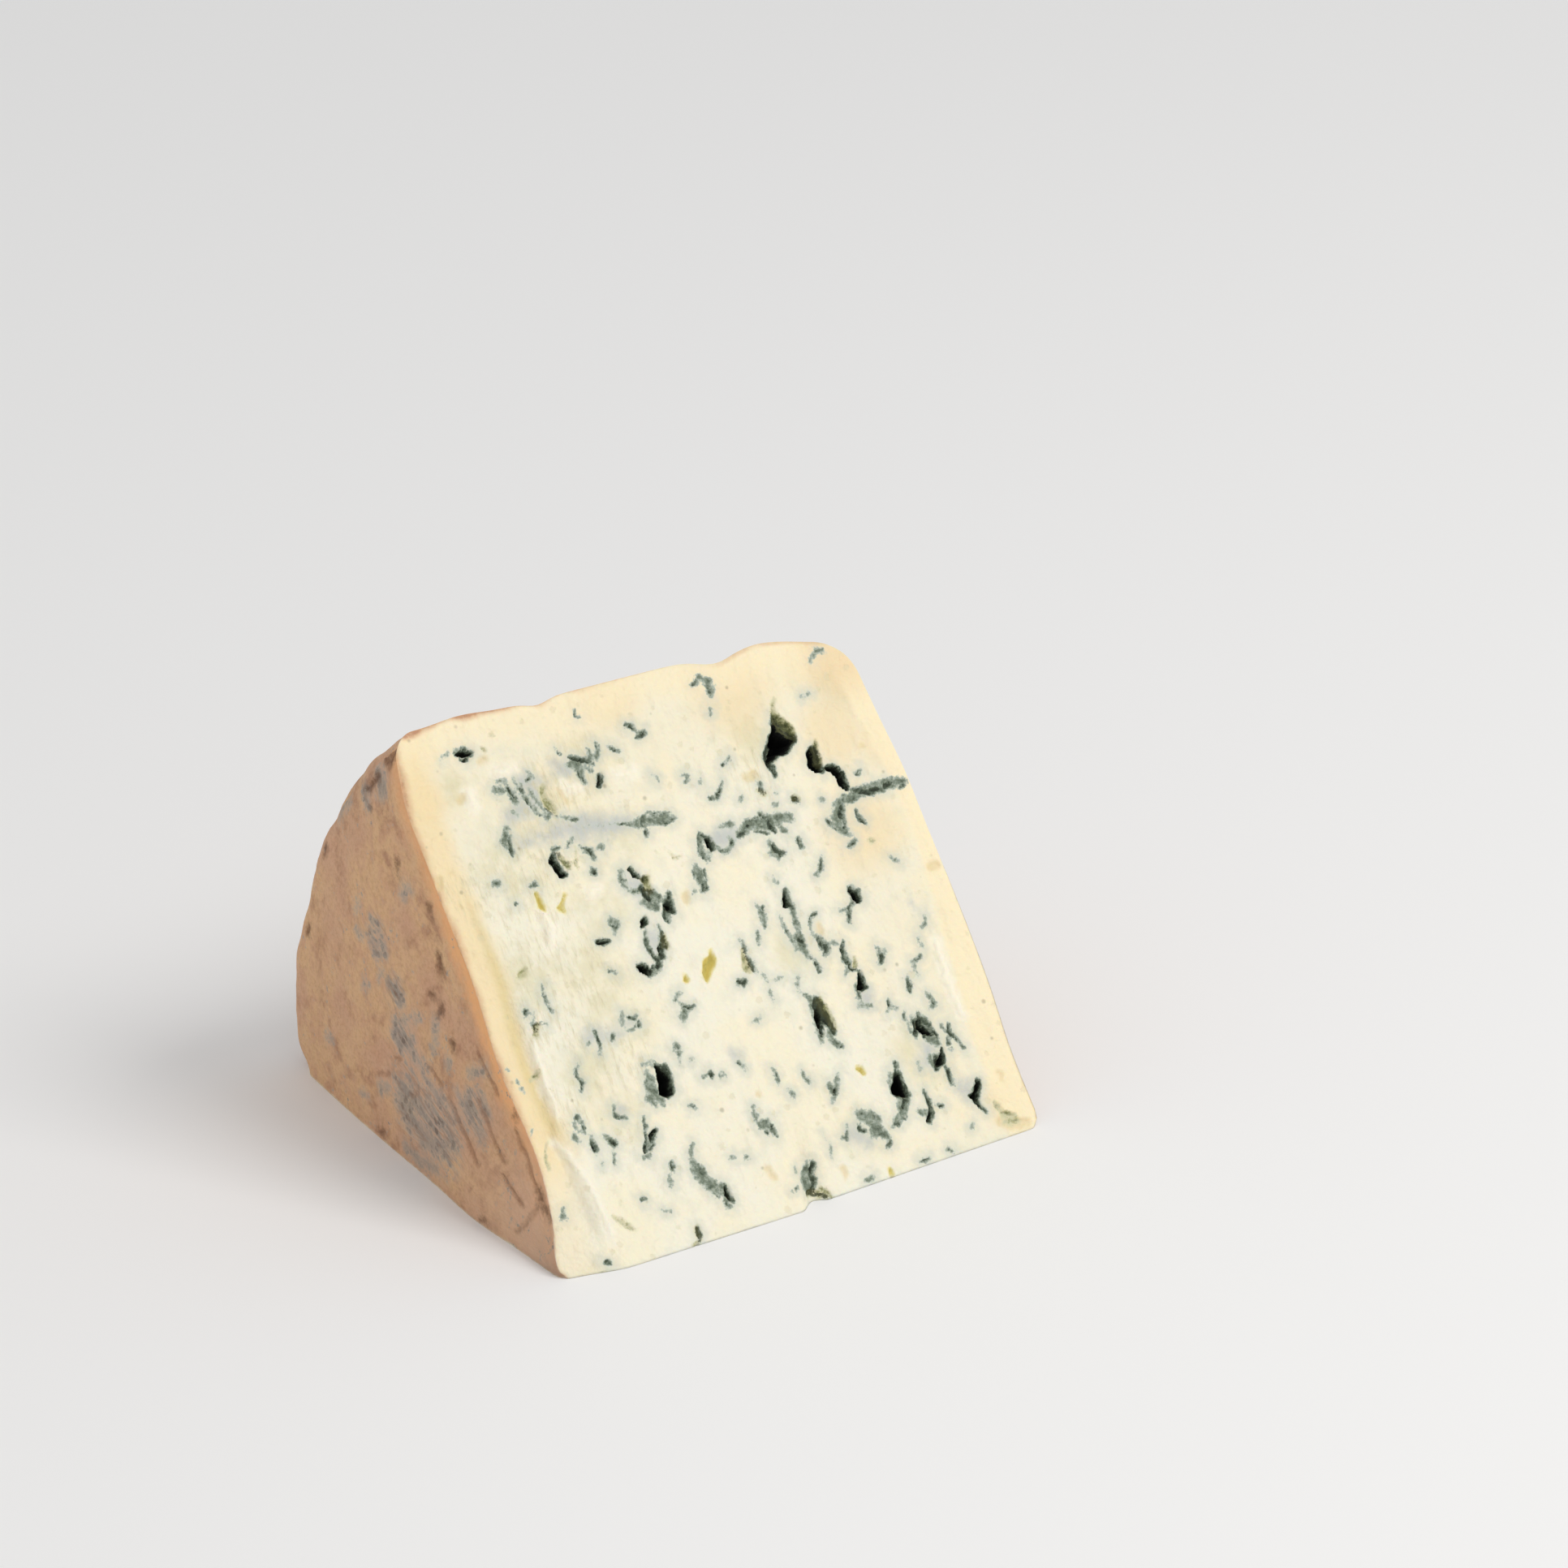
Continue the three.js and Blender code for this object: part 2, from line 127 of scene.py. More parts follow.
# ---- marks on the cut face that shows ----
# Each is a stroke: x, radius and half width of each of its points. They are read off.
BLACK = (
    ((26.7, 84.2, 0.4), (26.5, 82.8, 1.1), (26.3, 81.4, 1.9), (26.2, 80.4, 2.2)),
    ((26.0, 80.2, 1.6), (27.4, 80.2, 1.7), (28.7, 80.0, 0.9)),
    ((25.4, 79.6, 1.1), (24.2, 78.4, 0.8), (23.2, 77.2, 0.4), (23.1, 75.8, 0.2)),
    ((32.2, 77.8, 0.5), (31.7, 76.4, 1.1), (31.4, 75.2, 1.3), (32.0, 74.2, 0.9), (32.6, 73.4, 0.6)),
    ((34.2, 73.7, 0.6), (35.2, 73.2, 0.8), (36.1, 71.8, 0.9), (36.2, 70.0, 0.8), (36.5, 69.0, 0.5)),
    ((-24.7, 72.5, 0.3), (-25.4, 71.2, 0.8), (-25.1, 69.8, 0.8), (-24.6, 68.6, 0.7), (-23.9, 68.2, 0.4)),
    ((-36.4, 94.6, 0.25), (-35.6, 94.4, 0.55), (-34.6, 94.2, 0.65), (-33.4, 93.8, 0.4)),
    ((-35.8, 93.2, 0.25), (-34.8, 93.0, 0.4)),
    ((-10.6, 83.6, 0.35), (-11.2, 82.6, 0.45), (-11.6, 82.0, 0.4)),
    ((5.8, 67.4, 0.55), (5.9, 66.2, 0.7), (5.9, 65.4, 0.45)),
    ((-11.4, 66.0, 0.4), (-10.8, 65.0, 0.5), (-10.2, 64.4, 0.4)),
    ((-6.6, 58.2, 0.5), (-6.3, 57.4, 0.6)),
    ((-11.6, 57.0, 0.45), (-12.4, 56.4, 0.6), (-13.0, 55.8, 0.35)),
    ((-10.5, 51.6, 0.4), (-10.8, 50.6, 0.5)),
    ((-22.2, 55.4, 0.35), (-21.2, 55.0, 0.45), (-20.5, 54.9, 0.3)),
    ((-16.2, 49.0, 0.5), (-15.6, 48.4, 0.8), (-14.8, 47.4, 0.6)),
    ((30.4, 51.1, 0.6), (30.6, 50.0, 1.0), (31.0, 49.2, 0.7)),
    ((17.4, 54.6, 0.35), (17.0, 53.4, 0.6), (16.6, 52.2, 0.7)),
    ((24.4, 42.0, 0.3), (24.1, 41.0, 0.4)),
    ((26.0, 36.6, 0.4), (25.6, 35.2, 0.7), (25.2, 34.0, 0.8), (26.0, 33.7, 0.4)),
    ((15.2, 32.4, 0.5), (14.8, 31.0, 0.9), (14.6, 29.8, 0.7), (14.4, 28.4, 0.4)),
    ((-19.6, 31.2, 0.5), (-19.2, 30.4, 0.9), (-18.8, 28.6, 1.4), (-19.4, 27.0, 1.4), (-18.8, 26.2, 1.1)),
    ((34.2, 25.4, 0.4), (34.0, 24.0, 0.95), (34.4, 23.0, 0.8), (35.6, 22.3, 0.45)),
    ((36.6, 19.4, 0.35), (36.0, 18.0, 0.55), (35.6, 16.8, 0.8), (34.9, 16.5, 0.45)),
    ((25.8, 16.6, 0.7), (25.5, 15.0, 1.4), (25.8, 13.8, 1.1)),
    ((30.2, 9.8, 0.35), (29.6, 8.4, 0.5), (29.2, 7.5, 0.5)),
    ((41.4, 12.0, 0.3), (41.6, 11.0, 0.6), (40.8, 9.8, 0.6), (39.8, 8.8, 0.85), (40.0, 7.6, 0.5),
     (40.7, 6.3, 0.35)),
    ((38.8, 9.4, 0.3), (39.6, 9.2, 0.6)),
    ((-15.2, 8.6, 0.25), (-15.4, 7.4, 0.5), (-15.6, 6.6, 0.6), (-15.2, 5.6, 0.4)),
    ((-24.4, 20.4, 0.45), (-25.2, 19.6, 0.55), (-25.6, 19.0, 0.3)),
    ((-26.9, 18.6, 0.35), (-27.3, 17.9, 0.4)),
    ((-37.0, 21.2, 0.35), (-36.6, 20.8, 0.35)),
    ((12.2, 17.3, 0.35), (12.4, 17.9, 0.35)),
)
DARK = (
    ((24.6, 81.0, 0.5), (23.5, 79.6, 0.8), (23.0, 78.2, 0.95), (23.1, 76.8, 0.8), (23.3, 75.0, 0.45)),
    ((26.6, 82.9, 0.8), (26.3, 84.2, 0.55), (26.7, 85.6, 0.25)),
    ((32.8, 73.8, 0.4), (34.2, 73.6, 0.35)),
    ((0.4, 1.5, 0.1), (1.6, 1.2, 0.2), (3.0, 0.8, 0.15), (4.0, 0.5, 0.05)),
    ((37.0, 68.6, 0.35), (39.0, 68.2, 0.5)),
    ((38.6, 67.6, 0.45), (40.0, 67.4, 0.6), (42.3, 67.6, 0.55)),
    ((44.0, 67.6, 0.65), (45.8, 67.8, 0.4)),
    ((46.4, 66.5, 0.25), (48.2, 66.8, 0.25)),
    ((34.6, 66.4, 0.3), (33.4, 65.2, 0.65), (33.4, 63.6, 0.4), (33.0, 62.2, 0.35)),
    ((30.6, 64.6, 0.4), (31.0, 63.2, 0.35), (31.6, 62.2, 0.25)),
    ((32.6, 59.2, 0.35), (33.6, 59.4, 0.35)),
    ((37.0, 64.8, 0.25), (36.5, 63.6, 0.4), (36.8, 62.7, 0.5), (37.2, 62.2, 0.35)),
    ((12.0, 66.4, 0.45), (14.0, 67.0, 0.5), (15.2, 67.7, 0.35)),
    ((18.9, 67.8, 0.5), (19.1, 66.4, 0.65), (19.4, 65.4, 0.5)),
    ((17.6, 69.2, 0.45), (18.2, 68.4, 0.4)),
    ((15.2, 68.5, 0.25), (17.0, 68.7, 0.25)),
    ((15.6, 66.1, 0.25), (17.8, 65.5, 0.3)),
    ((18.0, 63.4, 0.4), (18.2, 62.2, 0.55), (18.8, 61.2, 0.65), (19.8, 60.8, 0.35)),
    ((23.4, 63.2, 0.35), (23.2, 62.2, 0.4), (23.6, 61.2, 0.4)),
    ((4.8, 68.7, 0.35), (3.5, 67.2, 0.3), (3.2, 65.8, 0.25)),
    ((4.9, 68.6, 0.35), (5.7, 67.8, 0.45)),
    ((3.6, 64.4, 0.2), (4.8, 63.6, 0.2)),
    ((10.2, 65.4, 0.3), (10.4, 66.2, 0.3)),
    ((7.2, 64.6, 0.2), (8.8, 64.2, 0.25)),
    ((1.0, 63.0, 0.2), (0.7, 61.2, 0.2)),
    ((2.8, 62.4, 0.2), (2.7, 60.4, 0.2)),
    ((1.8, 59.8, 0.6), (1.4, 58.7, 0.4), (2.3, 59.0, 0.4)),
    ((-10.6, 74.6, 0.2), (-9.2, 74.2, 0.25), (-8.2, 73.9, 0.2)),
    ((-5.2, 74.6, 0.25), (-5.8, 73.3, 0.45), (-5.5, 72.8, 0.4)),
    ((-3.8, 72.5, 0.2), (-2.0, 72.3, 0.2), (0.3, 72.4, 0.3)),
    ((-4.6, 74.9, 0.15), (-2.0, 74.4, 0.15), (0.4, 73.6, 0.2)),
    ((-3.4, 73.7, 0.2), (-2.6, 73.1, 0.2)),
    ((-5.3, 71.7, 0.3), (-5.8, 71.1, 0.35)),
    ((-29.2, 86.3, 0.35), (-28.6, 85.0, 0.4), (-28.0, 84.0, 0.45)),
    ((-26.4, 85.6, 0.35), (-26.2, 84.6, 0.35)),
    ((-26.0, 83.3, 0.35), (-25.8, 82.4, 0.4), (-25.4, 81.8, 0.3)),
    ((-25.2, 86.6, 0.3), (-24.4, 86.6, 0.3)),
    ((-24.8, 79.8, 0.2), (-23.4, 79.0, 0.25)),
    ((-18.8, 77.4, 0.3), (-17.8, 77.3, 0.35)),
    ((-31.8, 77.8, 0.25), (-32.4, 76.4, 0.35), (-32.8, 75.2, 0.35), (-32.4, 74.6, 0.4)),
    ((-24.8, 73.2, 0.25), (-23.4, 73.1, 0.25)),
    ((-21.8, 73.0, 0.25), (-20.4, 73.9, 0.2)),
    ((-18.7, 72.1, 0.3), (-17.9, 71.5, 0.25)),
    ((-17.6, 71.1, 0.45), (-17.7, 70.3, 0.35)),
    ((-18.6, 67.4, 0.45), (-18.4, 67.2, 0.45)),
    ((-30.9, 68.3, 0.4), (-30.6, 68.1, 0.4)),
    ((-33.6, 93.6, 0.5), (-34.6, 95.2, 0.25)),
    ((-15.3, 88.5, 0.3), (-14.0, 87.7, 0.5), (-13.0, 87.1, 0.6), (-11.8, 86.4, 0.4), (-10.7, 86.0, 0.25)),
    ((-14.4, 85.6, 0.3), (-14.2, 84.4, 0.35), (-13.9, 83.6, 0.25)),
    ((-17.2, 90.6, 0.2), (-17.1, 89.8, 0.3), (-16.7, 89.3, 0.2)),
    ((-9.4, 89.4, 0.2), (-9.0, 88.3, 0.25)),
    ((-6.6, 87.8, 0.35), (-5.8, 87.2, 0.4), (-5.3, 87.0, 0.25)),
    ((-2.4, 91.0, 0.3), (-1.6, 90.6, 0.45), (-1.2, 90.2, 0.4)),
    ((-0.8, 88.5, 0.25), (0.4, 88.6, 0.45), (0.6, 89.2, 0.4)),
    ((-10.8, 96.2, 0.2), (-11.0, 95.4, 0.3), (-10.6, 94.9, 0.35)),
    ((13.4, 94.8, 0.35), (14.2, 95.2, 0.3)),
    ((16.0, 94.2, 0.3), (16.4, 93.2, 0.35), (16.2, 92.5, 0.45)),
    ((10.6, 74.2, 0.45), (11.4, 75.0, 0.3), (12.4, 76.2, 0.2)),
    ((8.9, 74.5, 0.35), (9.2, 74.2, 0.3)),
    ((19.7, 74.4, 0.3), (19.4, 73.6, 0.3)),
    ((14.0, 79.4, 0.3), (13.8, 79.3, 0.3)),
    ((15.4, 80.0, 0.3), (15.6, 80.2, 0.25)),
    ((25.4, 69.9, 0.55), (25.9, 69.6, 0.4)),
    ((39.4, 71.2, 0.35), (39.8, 71.4, 0.3)),
    ((-19.0, 57.8, 0.25), (-18.2, 57.2, 0.3)),
    ((-22.4, 55.3, 0.5), (-21.2, 55.0, 0.55), (-20.4, 54.8, 0.4)),
    ((-22.2, 49.8, 0.25), (-21.5, 49.4, 0.3), (-21.2, 48.8, 0.2)),
    ((-14.4, 47.2, 0.5), (-13.7, 48.2, 0.4)),
    ((-13.5, 64.8, 0.35), (-13.3, 64.6, 0.3)),
    ((-12.8, 62.4, 0.25), (-11.4, 61.7, 0.25), (-10.6, 62.0, 0.25)),
    ((-10.4, 62.2, 0.5), (-10.0, 61.0, 0.75), (-9.8, 59.8, 0.5), (-9.5, 59.0, 0.3)),
    ((-5.4, 60.0, 0.35), (-6.1, 58.6, 0.75), (-6.4, 57.2, 0.9), (-5.7, 56.4, 0.5)),
    ((-7.0, 58.2, 0.5), (-7.6, 56.2, 0.5), (-7.6, 55.0, 0.35)),
    ((-12.8, 54.7, 0.25), (-13.2, 53.0, 0.3), (-13.2, 51.6, 0.35), (-12.7, 50.4, 0.45), (-12.2, 49.0, 0.65),
     (-13.0, 48.0, 0.55)),
    ((-9.8, 55.0, 0.2), (-9.6, 53.4, 0.25), (-10.2, 51.6, 0.55), (-10.8, 50.2, 0.6), (-11.4, 49.3, 0.55)),
    ((-35.7, 50.2, 0.2), (-36.0, 48.8, 0.3), (-36.0, 47.4, 0.25), (-35.7, 46.0, 0.2)),
    ((-40.6, 47.2, 0.25), (-40.8, 46.6, 0.3)),
    ((-35.3, 65.8, 0.25), (-35.1, 66.0, 0.2)),
    ((-21.4, 41.0, 0.3), (-20.5, 40.4, 0.4)),
    ((-19.7, 39.3, 0.35), (-20.0, 38.8, 0.3)),
    ((-29.2, 40.0, 0.2), (-29.1, 38.6, 0.3), (-28.8, 37.6, 0.3)),
    ((-25.6, 38.8, 0.25), (-26.0, 38.2, 0.3), (-26.2, 37.8, 0.25)),
    ((-35.2, 34.6, 0.2), (-35.6, 33.6, 0.25), (-34.8, 32.3, 0.4), (-35.2, 31.0, 0.25)),
    ((-14.6, 33.5, 0.35), (-14.4, 33.0, 0.35)),
    ((-10.2, 39.6, 0.4), (-9.2, 39.3, 0.5), (-8.4, 39.3, 0.3)),
    ((2.0, 41.2, 0.45), (2.8, 40.8, 0.6), (3.2, 41.2, 0.35), (2.6, 40.2, 0.35)),
    ((5.3, 48.0, 0.25), (5.6, 46.6, 0.25), (5.6, 45.6, 0.2)),
    ((5.8, 44.4, 0.25), (5.8, 43.0, 0.3), (5.6, 42.4, 0.25)),
    ((11.8, 52.8, 0.3), (11.4, 51.8, 0.25)),
    ((17.2, 51.8, 0.5), (17.6, 51.2, 0.4)),
    ((16.6, 46.2, 0.35), (16.6, 45.2, 0.6), (17.0, 44.2, 0.4)),
    ((14.7, 48.0, 0.15), (14.8, 46.6, 0.3)),
    ((17.0, 41.8, 0.2), (18.0, 41.4, 0.2)),
    ((18.1, 40.3, 0.2), (18.4, 39.4, 0.35), (18.3, 38.9, 0.3)),
    ((21.5, 49.0, 0.3), (20.4, 48.9, 0.25), (19.8, 48.2, 0.2)),
    ((20.3, 44.6, 0.4), (20.6, 43.6, 0.5), (21.2, 42.6, 0.5), (20.8, 41.8, 0.35), (20.1, 41.4, 0.3)),
    ((24.8, 42.7, 0.25), (24.2, 41.4, 0.55), (24.0, 40.2, 0.45), (24.2, 38.8, 0.4), (24.6, 37.8, 0.45),
     (25.6, 37.1, 0.3)),
    ((24.9, 34.6, 0.5), (24.4, 33.4, 0.3), (24.0, 32.0, 0.25)),
    ((15.8, 34.4, 0.4), (15.2, 33.0, 0.95), (15.6, 31.0, 1.3), (16.5, 29.0, 0.7), (16.8, 27.6, 0.45)),
    ((14.2, 29.0, 0.45), (14.0, 27.8, 0.35)),
    ((17.4, 25.0, 0.35), (17.1, 24.9, 0.3)),
    ((30.0, 51.4, 0.75), (31.2, 50.6, 0.75)),
    ((29.6, 48.8, 0.25), (28.3, 48.4, 0.25), (27.7, 47.2, 0.25), (27.4, 46.0, 0.25), (27.8, 45.6, 0.25)),
    ((26.4, 58.2, 0.2), (25.9, 57.0, 0.4), (25.7, 56.2, 0.3)),
    ((30.9, 40.0, 0.25), (31.2, 38.8, 0.3), (31.4, 38.0, 0.45), (30.8, 37.4, 0.35)),
    ((38.8, 36.2, 0.35), (37.6, 35.9, 0.3), (36.8, 35.8, 0.2)),
    ((34.8, 33.4, 0.25), (34.7, 32.0, 0.45), (34.5, 30.6, 0.3)),
    ((38.0, 28.0, 0.3), (38.1, 27.4, 0.35)),
    ((29.4, 30.2, 0.25), (29.2, 29.4, 0.35)),
    ((31.6, 27.0, 0.25), (31.4, 26.2, 0.25)),
    ((33.2, 25.6, 0.4), (33.0, 23.8, 0.7), (32.2, 23.0, 0.35)),
    ((34.2, 26.4, 0.25), (34.8, 25.0, 0.5), (35.5, 23.8, 0.5), (36.2, 22.4, 0.35), (36.6, 21.0, 0.25)),
    ((34.0, 22.0, 0.6), (35.0, 22.2, 0.6)),
    ((35.0, 17.6, 0.8), (34.2, 16.4, 0.7), (33.7, 15.8, 0.4)),
    ((36.1, 15.6, 0.35), (36.4, 14.2, 0.5), (36.2, 12.8, 0.45)),
    ((39.6, 23.0, 0.25), (39.2, 21.8, 0.55), (39.5, 21.0, 0.4), (40.1, 20.2, 0.25), (40.5, 18.8, 0.25),
     (41.0, 17.9, 0.3)),
    ((38.8, 21.0, 0.25), (38.3, 19.7, 0.3)),
    ((26.4, 19.4, 0.2), (26.0, 18.0, 0.4), (25.4, 16.4, 1.0), (25.0, 14.4, 1.5), (26.6, 13.6, 0.7)),
    ((25.6, 12.6, 0.5), (24.8, 11.2, 0.5)),
    ((24.2, 9.6, 0.3), (24.0, 9.2, 0.3)),
    ((22.2, 8.7, 0.35), (22.6, 8.4, 0.3)),
    ((30.0, 13.0, 0.25), (30.2, 11.6, 0.3), (30.4, 10.2, 0.45), (29.8, 8.8, 0.65), (29.2, 7.5, 0.65)),
    ((32.0, 9.4, 0.3), (32.6, 9.3, 0.3)),
    ((40.6, 6.6, 0.4), (41.1, 5.8, 0.35)),
    ((12.1, 17.3, 0.45), (12.5, 18.2, 0.45)),
    ((2.7, 23.8, 0.25), (2.4, 22.8, 0.3)),
    ((-2.0, 15.4, 0.45), (-2.4, 14.8, 0.35)),
    ((-3.7, 14.7, 0.4), (-3.6, 14.3, 0.3)),
    ((-1.8, 13.9, 0.25), (-1.6, 13.4, 0.2)),
    ((-11.4, 26.9, 0.3), (-11.2, 26.8, 0.3)),
    ((-10.0, 27.2, 0.35), (-9.9, 26.6, 0.35)),
    ((-4.0, 27.7, 0.35), (-3.7, 27.2, 0.35)),
    ((-17.7, 7.2, 0.25), (-17.4, 6.8, 0.2)),
    ((-16.6, 5.4, 0.25), (-16.0, 4.7, 0.3)),
    ((-25.4, 23.2, 0.2), (-26.0, 21.4, 0.25), (-26.8, 19.4, 0.35), (-27.2, 18.0, 0.5), (-26.2, 17.9, 0.3),
     (-25.2, 18.6, 0.2)),
    ((-23.8, 14.2, 0.4), (-23.6, 13.4, 0.45)),
    ((-38.6, 26.5, 0.3), (-37.8, 26.5, 0.35)),
    ((-37.4, 25.8, 0.2), (-37.6, 24.4, 0.2)),
    ((-36.9, 22.6, 0.3), (-37.0, 21.2, 0.5), (-36.6, 20.2, 0.5)),
    ((-33.3, 21.0, 0.5), (-32.8, 20.5, 0.5)),
    ((-34.1, 17.8, 0.25), (-34.2, 17.3, 0.25)),
    ((-30.5, 26.2, 0.15), (-30.5, 24.9, 0.4), (-29.6, 24.2, 0.25)),
    ((-18.2, 30.4, 0.8), (-17.8, 28.8, 0.6), (-18.2, 26.2, 0.7), (-19.2, 25.4, 0.6), (-20.6, 26.6, 0.5)),
    ((-23.1, 25.5, 0.35), (-22.8, 25.4, 0.3)),
    ((-15.6, 22.8, 0.25), (-15.4, 22.3, 0.25)),
    ((-31.8, 10.5, 0.45), (-31.0, 10.0, 0.2)),
    ((-23.9, 2.4, 0.4), (-23.9, 1.6, 0.3), (-24.4, 0.7, 0.2)),
    ((-42.9, 1.7, 0.5), (-42.4, 1.6, 0.5)),
    ((3.2, 7.0, 0.4), (2.9, 6.0, 0.5), (2.5, 4.6, 0.45), (2.0, 3.2, 0.35), (1.4, 1.9, 0.3)),
    ((-2.1, 4.2, 0.3), (-1.8, 4.1, 0.25)),
    ((15.9, 12.6, 0.35), (16.2, 12.4, 0.3)),
    ((18.2, 11.3, 0.4), (18.4, 10.8, 0.3)),
    ((14.6, 10.0, 0.45), (15.4, 9.5, 0.35)),
    ((17.7, 7.8, 0.35), (18.0, 7.6, 0.3)),
    ((19.9, 5.9, 0.25), (19.3, 5.5, 0.35), (18.8, 5.6, 0.2)),
    ((12.3, 10.6, 0.3), (11.9, 9.8, 0.3), (11.3, 9.0, 0.3)),
    ((24.6, 1.0, 0.35), (25.4, 0.9, 0.4), (26.4, 0.9, 0.25)),
    ((31.0, 1.1, 0.35), (31.2, 1.0, 0.3)),
)
